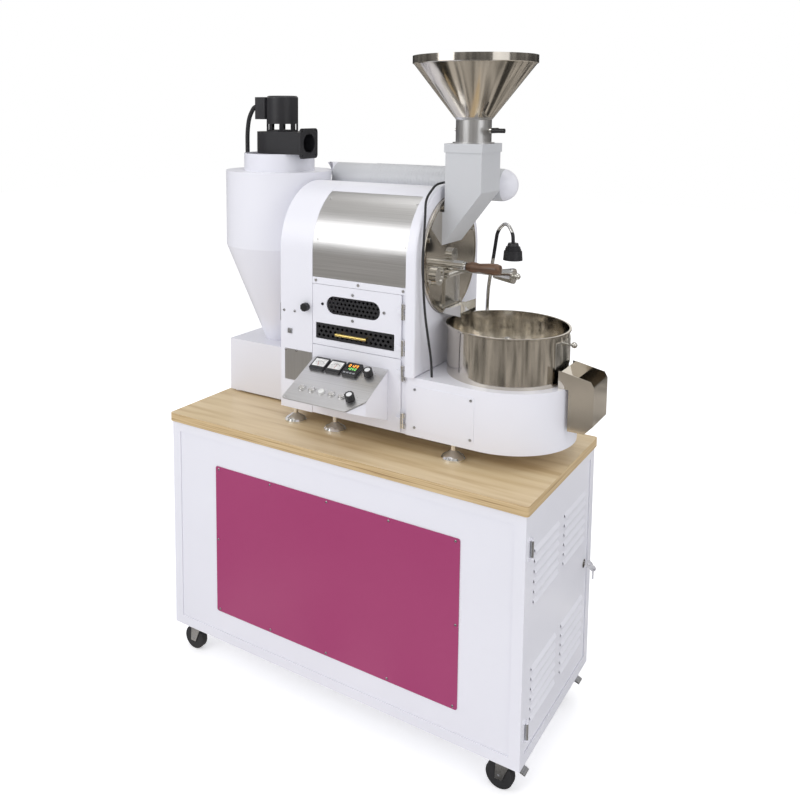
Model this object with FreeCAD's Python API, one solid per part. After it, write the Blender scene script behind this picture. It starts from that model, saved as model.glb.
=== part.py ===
import FreeCAD, Part
import math
import os

# A small drum coffee roaster on its own rolling cabinet, in millimetres.
# Working frame while modelling: x runs right along the cabinet front, y runs back,
# z runs up from the floor, and the corner of the cabinet is at x = 0, y = 0.
# At the end everything moves so that the origin is under the middle of the whole object.

# Cabinet
CAB_W = 1120.0
CAB_D = 520.0
CAB_H = 646.0
FRAME = 29.0
DOOR_KNUCKLE_R = 4.0
SHEET = 1.5
CASTER_H = 100.0
TOP_T = 25.0
WHEEL_R = 36.0
WHEEL_W = 24.0
CASTER_INSET = 52.0
SHELF_Z = 330.0
GAP = 0.3
DOOR_GAP = 2.0
LOCK_INSET = 27.0
LOUVER_COUNT = 6
LOUVER_PITCH = 26.0

# Roaster body
BODY_LEFT = 309.0
DRIVE_W = 112.0
DRUM_L = 285.0
DRUM_END_ROOM = 20.0
BARREL_W = DRUM_L + DRUM_END_ROOM
PLATE_T = 28.0
AXIS_Y = 323.0
AXIS_Z = 1283.0
BODY_R = 188.0
PLATE_LIP = 10.0
PLATE_R = BODY_R + PLATE_LIP
FOOT_H = 44.0
FOOT_R = 32.0
SKIN = 3.0
DOOR_T = 3.0
UPPER_DOOR_TOP = 1194.0
DOOR_SPLIT = 1019.5
STRIP_H = 20.0
COVER_T = 1.5
COVER_ANGLE = 62.0
WINDOW_W = 174.0
WINDOW_H = 51.0
WINDOW_Z = 1139.0
DRAWER_W = 255.0
DRAWER_H = 46.0
DRAWER_Z = 1061.0
DRAWER_DEPTH = 180.0
DRAWER_TRAVEL = 140.0
DRAWER_SIDE_GAP = 4.0

# Drum and drive
DRUM_R = 142.0
DRUM_WALL = 3.0
SHAFT_R = 12.0
RUN_CLEAR = 0.05
BEARING_R = 26.0
VANE_COUNT = 4

# Front face, hopper and feed
FACE_R = 165.0
FACE_T = 14.0
HOPPER_X = 821.0
RIM_R = 167.0
NECK_R = 48.0
HOPPER_WALL = 1.5
RIM_Z = 1828.0
RIM_BAND = 22.0
CONE_Z = 1657.0
FEED_TOP = 1594.0
FEED_W = 105.0
FEED_D = 125.0
FEED_DROP = 130.0
FEED_WALL = 2.0

# Base and cooling tray
TRAY_X = 933.0
TRAY_R = 162.0
TRAY_H = 134.0
BASE_TOP = 976.0
TRAY_WALL = 1.5
SIEVE_DROP = 86.0
ARM_COUNT = 3

# Cyclone, blower and chaff box
CYCLONE_X = 135.0
CYCLONE_Y = 362.0
CYCLONE_R = 170.0
CYCLONE_TOP = 1493.0
CYCLONE_CYL = 236.0
CONE_LOW_R = 45.0
COLLAR_R = 112.0
COLLAR_H = 54.0
SCROLL_H = 68.0
MOTOR_R = 50.0
MOTOR_H = 112.0
CHAFF_TOP = 946.0
DUCT_R = 47.0
DUCT_Y = 485.0
DUCT_Z = 1470.0
FLANGE = 92.0
FLANGE_HOLE_R = 3.5
FLANGE_PITCH = 72.0
OUTLET_R = 34.0

# Values worked out from the ones above
CAB_Z = CASTER_H
CAB_TOP = CAB_Z + CAB_H
DOOR_PIN_X = CAB_W + DOOR_KNUCKLE_R + GAP
DOOR_PIN_Y = FRAME + DOOR_GAP / 2
TABLE_Z = CAB_TOP + TOP_T
BODY_Z = TABLE_Z + FOOT_H
BODY_FRONT = AXIS_Y - BODY_R
BODY_BACK = AXIS_Y + BODY_R
DRIVE_X = BODY_LEFT + DRIVE_W
BARREL_X = DRIVE_X + BARREL_W
FACE_X = BARREL_X + PLATE_T
HINGE_X = BARREL_X - 10.0
HINGE_Y = BODY_FRONT - 4.0
STRIP_TOP = UPPER_DOOR_TOP + STRIP_H
BURNER_Z = DOOR_SPLIT + 85.0
SCROLL_Z = CYCLONE_TOP + COLLAR_H
MOTOR_Z = SCROLL_Z + SCROLL_H
TRAY_TOP = BASE_TOP + TRAY_H
SIEVE_Z = TRAY_TOP - SIEVE_DROP

V = FreeCAD.Vector
X = V(1, 0, 0)
Y = V(0, 1, 0)
Z = V(0, 0, 1)
parts = {}


def box(x0, x1, y0, y1, z0, z1):
    return Part.makeBox(x1 - x0, y1 - y0, z1 - z0, V(x0, y0, z0))


def rod(radius, length, start, axis):
    return Part.makeCylinder(radius, length, start, axis)


def pipe(outer, inner, length, start, axis):
    return rod(outer, length, start, axis).cut(rod(inner, length, start, axis))


def prism(points, direction):
    return Part.Face(Part.makePolygon(points + [points[0]])).extrude(direction)


def turned(points, centre):
    # Half outline in radius and height, turned about a vertical axis through centre.
    outline = [V(centre.x + r, centre.y, centre.z + h) for r, h in points]
    face = Part.Face(Part.makePolygon(outline + [outline[0]]))
    return face.revolve(centre, Z, 360)


def arch(x0, length, radius, bottom):
    # A slab with a round top about the drum axis and straight sides down to bottom.
    left = V(x0, AXIS_Y - radius, bottom)
    left_up = V(x0, AXIS_Y - radius, AXIS_Z)
    crown = V(x0, AXIS_Y, AXIS_Z + radius)
    right_up = V(x0, AXIS_Y + radius, AXIS_Z)
    right = V(x0, AXIS_Y + radius, bottom)
    edges = [
        Part.makeLine(left, left_up),
        Part.Arc(left_up, crown, right_up).toShape(),
        Part.makeLine(right_up, right),
        Part.makeLine(right, left),
    ]
    return Part.Face(Part.Wire(edges)).extrude(V(length, 0, 0))


def slot_along_x(width, height, centre, depth):
    # A stadium hole lying along x, cut along y.
    r = height / 2
    half = width / 2 - r
    body = box(centre.x - half, centre.x + half, centre.y, centre.y + depth, centre.z - r, centre.z + r)
    for side in (-half, half):
        body = body.fuse(rod(r, depth, V(centre.x + side, centre.y, centre.z), Y))
    return body


def round_edges(shape, radius, direction):
    # Round the straight edges that run along one direction.
    chosen = []
    for edge in shape.Edges:
        if edge.Curve.TypeId != "Part::GeomLine":
            continue
        if abs(edge.tangentAt(edge.FirstParameter).dot(direction)) > 0.999:
            chosen.append(edge)
    return shape.makeFillet(radius, chosen)


def add(name, *shapes):
    solids = []
    for shape in shapes:
        solids += shape.Solids
    parts[name] = solids[0] if len(solids) == 1 else Part.makeCompound(solids)


def cabinet():
    inner_x0, inner_x1 = FRAME, CAB_W - FRAME
    frame = box(0, CAB_W, 0, CAB_D, CAB_Z, CAB_TOP)
    frame = frame.cut(box(FRAME, CAB_W - FRAME, FRAME, CAB_D - FRAME, CAB_Z - 1, CAB_TOP + 1))
    low, high = CAB_Z + FRAME, CAB_TOP - FRAME
    frame = frame.cut(box(inner_x0, inner_x1, -1, CAB_D + 1, low, high))
    frame = frame.cut(box(-1, CAB_W + 1, FRAME, CAB_D - FRAME, low, high))
    add("cabinet_frame", frame)
    front = box(inner_x0 + GAP, inner_x1 - GAP, 3, 3 + SHEET, low + GAP, high - GAP)
    add("front_panel", front)
    tint = round_edges(box(168, 953, 1.2, 2.7, 191.5, 641), 6, Y)
    add("tinted_plate", tint)
    add("back_panel", box(inner_x0 + GAP, inner_x1 - GAP, CAB_D - 3 - SHEET, CAB_D - 3, low + GAP, high - GAP))
    add("left_panel", box(3, 3 + SHEET, FRAME + GAP, CAB_D - FRAME - GAP, low + GAP, high - GAP))
    floor = box(FRAME + GAP, inner_x1 - GAP, FRAME + GAP, CAB_D - FRAME - GAP, CAB_Z, CAB_Z + SHEET)
    shelf = box(FRAME + GAP, inner_x1 - 14, FRAME + GAP, CAB_D - FRAME - GAP, SHELF_Z, SHELF_Z + SHEET)
    add("cabinet_floor", floor)
    add("cabinet_shelf", shelf)
    add("worktop", round_edges(box(-6, CAB_W + 6, -6, CAB_D + 6, CAB_TOP, TABLE_Z), 8, Z))


def louvre(y0, y1, z):
    # One pressed louvre: an open slot with a blade slanting out and down over it.
    x = CAB_W - 3
    blade = [V(x, y0, z + 12), V(x + 5, y0, z + 2), V(x + 5, y0, z + 0.5), V(x, y0, z + 10.5)]
    return prism(blade, V(0, y1 - y0, 0))


def side_door():
    low, high = CAB_Z + FRAME + DOOR_GAP, CAB_TOP - FRAME - DOOR_GAP
    y0, y1 = FRAME + DOOR_GAP, CAB_D - FRAME - DOOR_GAP
    door = box(CAB_W - 12, CAB_W - 3, y0, y1, low, high)
    door = door.cut(box(CAB_W - 13, CAB_W - 3 - SHEET, y0 + SHEET, y1 - SHEET, low + SHEET, high - SHEET))
    middle = (y0 + y1) / 2
    for span in ((y0 + 35, middle - 22), (middle + 22, y1 - 35)):
        for start in (low + 62, high - 62 - LOUVER_COUNT * LOUVER_PITCH):
            for i in range(LOUVER_COUNT):
                z = start + i * LOUVER_PITCH
                door = door.cut(box(CAB_W - 8, CAB_W - 2, *span, z + 1, z + 10.5))
                door = door.fuse(louvre(*span, z))
    lock_y, lock_z = y1 - LOCK_INSET, (low + high) / 2
    door = door.cut(rod(9, 20, V(CAB_W - 14, lock_y, lock_z), X))
    # Each butt hinge stands proud of the post: a long door knuckle between two frame knuckles.
    pins = []
    for z in (low + 60, high - 60):
        door = door.fuse(pipe(DOOR_KNUCKLE_R, 2 + RUN_CLEAR, 40, V(DOOR_PIN_X, DOOR_PIN_Y, z - 20), Z))
        leaf = box(CAB_W - 4, DOOR_PIN_X - 2.5, y0, y0 + 14, z - 20, z + 20)
        door = door.fuse(leaf).fuse(box(DOOR_PIN_X - 3, DOOR_PIN_X - 1, DOOR_PIN_Y + 2.5, y0 + 4, z - 20, z + 20))
        pins.append(rod(2, 50, V(DOOR_PIN_X, DOOR_PIN_Y, z - 25), Z))
        for z0 in (z - 25, z + 20.5):
            knuckle = pipe(DOOR_KNUCKLE_R, 2, 4.5, V(DOOR_PIN_X, DOOR_PIN_Y, z0), Z)
            seat = box(CAB_W - 1, DOOR_PIN_X - 2.5, FRAME - 12, FRAME - 0.5, z0, z0 + 4.5)
            parts["cabinet_frame"] = parts["cabinet_frame"].fuse([knuckle, seat])
    add("side_door", door)
    add("door_hinge_pins", *pins)
    lock = rod(9 - RUN_CLEAR, 9, V(CAB_W - 12, lock_y, lock_z), X)
    lock = lock.fuse(rod(12, 2, V(CAB_W - 3 + GAP, lock_y, lock_z), X))
    lock = lock.fuse(box(CAB_W - 18, CAB_W - 14.5, lock_y - 7, lock_y + 12, lock_z - 7, lock_z + 7))
    lock = lock.fuse(rod(4, 6, V(CAB_W - 16, lock_y, lock_z), X))
    add("door_lock", lock)
    bow = pipe(11, 4, 2, V(CAB_W + 13, lock_y - 1, lock_z + 2), Y)
    blade = box(CAB_W - 0.7, CAB_W + 5, lock_y - 1, lock_y + 1, lock_z - 2, lock_z + 6)
    add("lock_key", bow.fuse(blade))


def casters():
    # Front casters are cast light metal, rear casters are dark; each has a plate, a fork,
    # a wheel on an axle, and the right pair has brake pedals.
    spots = {
        "front_left": (CASTER_INSET, CASTER_INSET),
        "front_right": (CAB_W - CASTER_INSET, CASTER_INSET),
        "rear_left": (CASTER_INSET, CAB_D - CASTER_INSET),
        "rear_right": (CAB_W - CASTER_INSET, CAB_D - CASTER_INSET),
    }
    plates = []
    wheels = []
    trail = 16
    for name, (cx, cy) in spots.items():
        plate = round_edges(box(cx - 38, cx + 38, cy - 38, cy + 38, CAB_Z - 3, CAB_Z), 5, Z)
        for dx in (-29, 29):
            for dy in (-29, 29):
                plate = plate.cut(rod(3.5, 4, V(cx + dx, cy + dy, CAB_Z - 3.5), Z))
        plate = plate.fuse(rod(9, 12, V(cx, cy, CAB_Z - 15), Z))
        plates.append(plate)
        axle_x = cx - trail
        crown = rod(24, 3, V(cx, cy, CAB_Z - 8), Z).cut(rod(9 + RUN_CLEAR, 4, V(cx, cy, CAB_Z - 8.5), Z))
        fork = crown
        for side in (-1, 1):
            y0 = cy + side * 15 - 1.25
            cheek = prism([V(cx - 22, y0, CAB_Z - 6), V(cx + 20, y0, CAB_Z - 6),
                           V(axle_x + 9, y0, WHEEL_R - 8), V(axle_x - 9, y0, WHEEL_R - 8)], V(0, 2.5, 0))
            fork = fork.fuse(cheek)
        fork = fork.cut(rod(9 + RUN_CLEAR, 20, V(cx, cy, CAB_Z - 20), Z))
        fork = fork.fuse(rod(4, 36, V(axle_x, cy - 18, WHEEL_R), Y))
        add("caster_fork_" + name, fork)
        tread = pipe(WHEEL_R, 4 + RUN_CLEAR, WHEEL_W, V(axle_x, cy - WHEEL_W / 2, WHEEL_R), Y)
        tread = tread.makeFillet(4, [e for e in tread.Edges if abs(e.BoundBox.ZLength - 2 * WHEEL_R) < 1])
        add("caster_wheel_" + name, tread)
    add("caster_plates", *plates)
    for name in ("front_right", "rear_right"):
        cx, cy = spots[name]
        x0 = cx + 22
        pedal = prism([V(x0, cy - 14, CAB_Z - 26), V(x0 + 3, cy - 14, CAB_Z - 20), V(x0 + 30, cy - 14, CAB_Z - 32),
                       V(x0 + 30, cy - 14, CAB_Z - 35)], V(0, 28, 0))
        for i in range(3):
            rib_x = x0 + 12 + 6 * i
            rib_z = CAB_Z - 24.5 - 2.65 * i
            pedal = pedal.fuse(box(rib_x, rib_x + 1.5, cy - 14, cy + 14, rib_z - 3, rib_z + 1.5))
        add("brake_pedal_" + name, pedal)
        # The fork carries the pedal on a cross pin just above the wheel.
        pin_x, pin_z = x0 + 2, CAB_Z - 23
        boss = rod(5, 28, V(pin_x, cy - 14, pin_z), Y)
        parts["brake_pedal_" + name] = parts["brake_pedal_" + name].fuse(boss).cut(
            rod(2 + RUN_CLEAR, 30, V(pin_x, cy - 15, pin_z), Y))
        fork = parts["caster_fork_" + name]
        for side in (-1, 1):
            y0 = cy + side * 15.75 - 1.25
            ear = box(cx + 8, pin_x + 5, y0, y0 + 2.5, pin_z - 5, pin_z + 5)
            fork = fork.fuse(ear)
        fork = fork.fuse(rod(2, 34, V(pin_x, cy - 17, pin_z), Y))
        parts["caster_fork_" + name] = fork


def body():
    # The left housing holds the drive; its round top follows the end plate.
    drive = arch(BODY_LEFT, DRIVE_W - GAP, BODY_R, BODY_Z)
    drive = drive.cut(arch(BODY_LEFT + SKIN, DRIVE_W, BODY_R - SKIN, BODY_Z + SKIN))
    drive = drive.cut(rod(9, 10, V(401, BODY_FRONT - 1, 1124), Y))
    for i in range(5):
        drive = drive.cut(box(BODY_LEFT - 1, BODY_LEFT + 5, BODY_FRONT + 40, BODY_FRONT + 150,
                              BODY_Z + 60 + 14 * i, BODY_Z + 66 + 14 * i))
    drive = drive.cut(box(355, 419, BODY_FRONT - 1, BODY_FRONT + SKIN + 1, 940, 990))
    add("drive_housing", drive)
    # The chassis is the floor, back wall and arch wall that carry the drum and the doors.
    x0, x1 = DRIVE_X, BARREL_X - GAP
    wall = arch(x0, 4, BODY_R - COVER_T - GAP, BODY_Z)
    wall = wall.cut(rod(BEARING_R + RUN_CLEAR, 6, V(x0 - 1, AXIS_Y, AXIS_Z), X))
    wall = wall.cut(box(x0 - 1, x0 + 5, BODY_FRONT - 1, BODY_FRONT + 6, BODY_Z - 1, STRIP_TOP + GAP))
    floor = box(x0, x1, BODY_FRONT + DOOR_T + 1, BODY_BACK - 1, BODY_Z, BODY_Z + SKIN)
    back = box(x0, x1, BODY_BACK - 1 - SKIN, BODY_BACK - 1, BODY_Z, AXIS_Z - 90)
    divider = box(x0, x1, BODY_FRONT + DOOR_T + 1, BODY_BACK - 2, DOOR_SPLIT - 9, DOOR_SPLIT - 6)
    lip = box(x0, x1, BODY_FRONT + DOOR_T + 1, BODY_FRONT + DOOR_T + 4, DOOR_SPLIT - 9, DOOR_SPLIT + 9)
    post = box(HINGE_X - 10, x1, BODY_FRONT + 5, BODY_FRONT + 8, BODY_Z, STRIP_TOP)
    chassis = wall.fuse([floor, back, divider, lip, post])
    add("chassis", chassis)
    # A half-round inner jacket holds the heat round the drum.
    jacket = pipe(DRUM_R + 22, DRUM_R + 20, BARREL_W - 8, V(x0 + 4 + GAP, AXIS_Y, AXIS_Z), X)
    jacket = jacket.cut(box(x0, x1 + 10, AXIS_Y - 90, AXIS_Y + 90, AXIS_Z - 250, AXIS_Z - 100))
    add("heat_jacket", jacket)


def barrel():
    # The stainless cover is a rolled sheet; above and behind it the white shell goes on over the top.
    x0, x1 = DRIVE_X + GAP, BARREL_X - GAP
    ring = pipe(BODY_R, BODY_R - COVER_T, x1 - x0, V(x0, AXIS_Y, AXIS_Z), X)
    low = STRIP_TOP + GAP
    split = AXIS_Z + BODY_R * math.sin(math.radians(COVER_ANGLE))
    cover = ring.common(box(x0, x1, AXIS_Y - BODY_R - 1, AXIS_Y, AXIS_Z, split))
    apron = box(x0, x1, BODY_FRONT, BODY_FRONT + COVER_T, low, AXIS_Z)
    cover = cover.fuse(apron)
    seat = ring.common(box(x0, x1, AXIS_Y - BODY_R, AXIS_Y + BODY_R + 1, split + GAP, AXIS_Z + BODY_R + 1))
    rear_wall = box(x0, x1, BODY_BACK - COVER_T, BODY_BACK, AXIS_Z - 89, AXIS_Z)
    shell = seat.fuse([ring.common(box(x0, x1, AXIS_Y, AXIS_Y + BODY_R + 1, AXIS_Z, AXIS_Z + BODY_R + 1)), rear_wall])
    add("barrel_cover", cover)
    add("barrel_shell", shell)
    strip = box(x0, x1, BODY_FRONT, BODY_FRONT + 5 - GAP, UPPER_DOOR_TOP + 1, STRIP_TOP)
    add("cover_strip", strip)
    screws = []
    for x in (x0 + 12, (x0 + x1) / 2, x1 - 12):
        screws.append(rod(4, 2, V(x, BODY_FRONT - 2, UPPER_DOOR_TOP + STRIP_H / 2 + 1), Y))
    for angle in (12, 52):
        tilt = math.radians(angle)
        out = V(0, -math.cos(tilt), math.sin(tilt))
        for x in (x0 + 12, x1 - 12):
            screws.append(rod(4, 2, V(x, AXIS_Y, AXIS_Z) + out * BODY_R, out))
    add("cover_screws", *screws)


def leaf_hinge(name, z_centres):
    # Lift-off butt hinges: each has one knuckle on the door, two on the body, and its pin.
    pins = []
    body_knuckles = []
    door_knuckles = []
    for z in z_centres:
        pins.append(rod(2.5, 44, V(HINGE_X, HINGE_Y, z - 22), Z))
        door_knuckles.append(pipe(5, 2.5 + RUN_CLEAR, 13.4, V(HINGE_X, HINGE_Y, z - 6.7), Z))
        for z0 in (z - 21, z + 7):
            knuckle = pipe(5, 2.5, 14, V(HINGE_X, HINGE_Y, z0), Z)
            leaf = box(HINGE_X + 3.2, BARREL_X - GAP, HINGE_Y - 1, HINGE_Y + 1.5, z0, z0 + 14)
            body_knuckles.append(knuckle.fuse(leaf))
    add(name, *(pins + body_knuckles))
    return door_knuckles


def upper_door():
    x0, x1 = DRIVE_X + 1, HINGE_X - 7
    z0, z1 = DOOR_SPLIT + 1, UPPER_DOOR_TOP
    door = round_edges(box(x0, x1, BODY_FRONT, BODY_FRONT + DOOR_T, z0, z1), 3, Y)
    centre_x = (469.0 + 643.0) / 2
    door = door.cut(slot_along_x(WINDOW_W, WINDOW_H, V(centre_x, BODY_FRONT - 1, WINDOW_Z), 6))
    draw_x0 = 433.0
    opening = box(draw_x0, draw_x0 + DRAWER_W, BODY_FRONT - 1, BODY_FRONT + 6,
                  DRAWER_Z - DRAWER_H / 2, DRAWER_Z + DRAWER_H / 2)
    door = door.cut(round_edges(opening, 2, Y))
    for knuckle in leaf_hinge("upper_door_hinges", (UPPER_DOOR_TOP - 44, DOOR_SPLIT + 32.5)):
        leaf = box(x1 - 12, HINGE_X - 3.2, HINGE_Y - 1, HINGE_Y + 1.5, knuckle.BoundBox.ZMin, knuckle.BoundBox.ZMax)
        web = box(x1 - 12, x1, HINGE_Y + 1, BODY_FRONT + 1, knuckle.BoundBox.ZMin, knuckle.BoundBox.ZMax)
        door = door.fuse([knuckle, leaf, web])
    add("upper_door", door)
    # The mesh behind the window is one sheet with rows of round-cornered holes.
    inset = 3
    mesh = box(centre_x - WINDOW_W / 2 - 8, centre_x + WINDOW_W / 2 + 8, BODY_FRONT + DOOR_T,
               BODY_FRONT + DOOR_T + 1.2, WINDOW_Z - WINDOW_H / 2 - 8, WINDOW_Z + WINDOW_H / 2 + 6)
    pitch = 13.0
    holes = []
    for row in range(4):
        count = 12 if row % 2 else 13
        for i in range(count):
            x = centre_x + (i - (count - 1) / 2) * pitch
            z = WINDOW_Z + (row - 1.5) * pitch * 0.9
            diamond = [V(x - 5, 0, z), V(x, 0, z - 4.6), V(x + 5, 0, z), V(x, 0, z + 4.6)]
            for p in diamond:
                p.y = BODY_FRONT + DOOR_T - inset
            holes.append(prism(diamond, V(0, 8, 0)))
    add("window_mesh", mesh.cut(Part.makeCompound(holes)))
    screws = []
    for dx, dz in ((0, 36), (0, -36), (-WINDOW_W / 2 - 13, 0), (WINDOW_W / 2 + 13, 0)):
        screws.append(rod(4, 2, V(centre_x + dx, BODY_FRONT - 2, WINDOW_Z + dz), Y))
    add("window_screws", *screws)
    drawer(draw_x0)


def drawer(left):
    # The chaff and spill drawer runs on two rails of the chassis and has a mesh front.
    c = 1.0
    x0, x1 = left + DRAWER_SIDE_GAP, left + DRAWER_W - DRAWER_SIDE_GAP
    z0, z1 = DRAWER_Z - DRAWER_H / 2 + c, DRAWER_Z + DRAWER_H / 2 - c
    y0 = BODY_FRONT + 0.5
    tray = box(x0, x1, y0, y0 + DRAWER_DEPTH, z0, z1)
    tray = tray.cut(box(x0 + 1.5, x1 - 1.5, y0 + 1.5, y0 + DRAWER_DEPTH - 1.5, z0 + 1.5, z1 + 1))
    holes = []
    pitch = 15.5
    for row in range(3):
        count = 15 if row % 2 else 16
        for i in range(count):
            x = (x0 + x1) / 2 + (i - (count - 1) / 2) * pitch
            z = DRAWER_Z + (row - 1) * 12.0
            if abs(x - 561) < 60 and row == 1:
                continue
            diamond = [V(x - 5.5, y0 - 1, z), V(x, y0 - 1, z - 5), V(x + 5.5, y0 - 1, z), V(x, y0 - 1, z + 5)]
            holes.append(prism(diamond, V(0, 4, 0)))
    tray = tray.cut(Part.makeCompound(holes))
    add("spill_drawer", tray)
    bar = rod(4, 100, V(511, y0 - 18, DRAWER_Z), X)
    for x in (519, 603):
        bar = bar.fuse(rod(3, 18, V(x, y0 - 18, DRAWER_Z), Y))
    add("drawer_handle", bar)
    rails = []
    for x in (x0 - 0.7, x1 - 5.3):
        rail = box(x, x + 6, BODY_FRONT + 9, y0 + DRAWER_DEPTH - 5, DOOR_SPLIT - 6, z0 - GAP)
        rails.append(rail)
    parts["chassis"] = parts["chassis"].fuse(rails)


def lower_door():
    x0, x1 = DRIVE_X + 1, HINGE_X - 7
    z0, z1 = BODY_Z + 2, DOOR_SPLIT - 1
    door = round_edges(box(x0, x1, BODY_FRONT, BODY_FRONT + DOOR_T, z0, z1), 3, Y)
    for knuckle in leaf_hinge("lower_door_hinges", (983.0, 853.0)):
        leaf = box(x1 - 12, HINGE_X - 3.2, HINGE_Y - 1, HINGE_Y + 1.5, knuckle.BoundBox.ZMin, knuckle.BoundBox.ZMax)
        web = box(x1 - 12, x1, HINGE_Y + 1, BODY_FRONT + 1, knuckle.BoundBox.ZMin, knuckle.BoundBox.ZMax)
        door = door.fuse([knuckle, leaf, web])
    add("lower_door", door)


def plate_point(u, v, lift=0.0):
    # A point on the sloping control plate: u across from its left end, v down the slope.
    along = V(0, PLATE_LOW_Y - BODY_FRONT, PLATE_LOW_Z - PLATE_TOP_Z)
    along.normalize()
    normal = V(0, along.z, -along.y)
    return V(CONSOLE_X, BODY_FRONT, PLATE_TOP_Z) + X * u + along * v + normal * lift


CONSOLE_X = 431.0
CONSOLE_W = 242.0
PLATE_TOP_Z = 984.0
PLATE_LOW_Y = -28.0
PLATE_LOW_Z = 906.0
BEZEL = 48.0
BUTTON_R = 9.0
PLATE_LEN = math.hypot(BODY_FRONT - PLATE_LOW_Y, PLATE_TOP_Z - PLATE_LOW_Z)
NORMAL = plate_point(0, 0, 1) - plate_point(0, 0, 0)
SLOPE = plate_point(0, 1) - plate_point(0, 0)


def on_plate(width, height, u, v, lift, thick, corner):
    # A flat rounded block lying on the control plate.
    points = [plate_point(u + a * width / 2, v + b * height / 2, lift) for a, b in ((-1, -1), (1, -1), (1, 1), (-1, 1))]
    block = prism(points, NORMAL * thick)
    return round_edges(block, corner, NORMAL)


def knob_at(u, v, radius, height):
    knob = rod(radius, height, plate_point(u, v, GAP + 1.5), NORMAL)
    grips = []
    for i in range(10):
        turn = i * 2 * math.pi / 10
        middle = plate_point(u, v, 4) + X * (radius + 1) * math.cos(turn) + SLOPE * (radius + 1) * math.sin(turn)
        grips.append(rod(2.2, height, middle, NORMAL))
    knob = knob.cut(Part.makeCompound(grips))
    return knob.fuse(rod(3, 10, plate_point(u, v, -6), NORMAL))


def console():
    # A wedge box fixed to the lower door: sloping plate on top, closed flanks, flat foot.
    t = 1.5
    y_hang = PLATE_LOW_Y + 6
    outline = [V(CONSOLE_X + 3, BODY_FRONT - GAP, PLATE_TOP_Z - 3), V(CONSOLE_X + 3, y_hang, PLATE_LOW_Z - 3),
               V(CONSOLE_X + 3, BODY_FRONT - GAP, 843)]
    wedge = prism(outline, V(CONSOLE_W - 6, 0, 0))
    corner = prism([V(CONSOLE_X + CONSOLE_W + 1, y_hang - 9, PLATE_LOW_Z - 60),
                    V(CONSOLE_X + CONSOLE_W - 46, y_hang - 9, PLATE_LOW_Z - 60),
                    V(CONSOLE_X + CONSOLE_W + 1, y_hang + 46, PLATE_LOW_Z - 60)], V(0, 0, 160))
    add("console_box", wedge.cut(corner))
    plate = on_plate(CONSOLE_W, PLATE_LEN, CONSOLE_W / 2, PLATE_LEN / 2, 0, t, 8)
    cut = corner.translated(V(3, -3, 0))
    plate = plate.cut(cut)
    holes = []
    box_holes = []
    button_v = PLATE_LEN - 50
    buttons = [plate_point(38 + 32 * i, button_v) for i in range(5)]
    for point in buttons:
        box_holes.append(rod(BUTTON_R + 0.5, 30, point - NORMAL * 18, NORMAL))
    for u, v in ((197, 34), (196, PLATE_LEN - 46)):
        box_holes.append(rod(3 + RUN_CLEAR, 30, plate_point(u, v, -10), NORMAL))
    plate = plate.cut(Part.makeCompound(box_holes))
    parts["console_box"] = parts["console_box"].cut(Part.makeCompound(box_holes))
    add("console_plate", plate)
    faces = []
    for u in (38, 91):
        faces.append(on_plate(BEZEL, BEZEL, u, 33, t, 7, 4))
    add("panel_meters", *faces)
    add("timer", on_plate(BEZEL, BEZEL, 145, 33, t, 9, 4))
    bezels = []
    for i, point in enumerate(buttons):
        bezels.append(pipe(BUTTON_R + 3, BUTTON_R + 0.5, 3, point + NORMAL * t, NORMAL))
        cap = rod(BUTTON_R, 15, point - NORMAL * 8.5, NORMAL)
        cap = cap.makeFillet(1.5, [e for e in cap.Edges if (e.CenterOfMass - point).dot(NORMAL) > 5])
        add("button_%d" % (i + 1), cap)
    add("button_bezels", *bezels)
    add("fan_knob", knob_at(197, 34, 13, 18))
    add("heat_knob", knob_at(196, PLATE_LEN - 46, 13, 18))
    screws = []
    for u, v in ((9, 9), (CONSOLE_W - 9, 9), (9, PLATE_LEN - 9)):
        screws.append(rod(3.5, 1.8, plate_point(u, v, t), NORMAL))
    add("console_screws", *screws)


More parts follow.
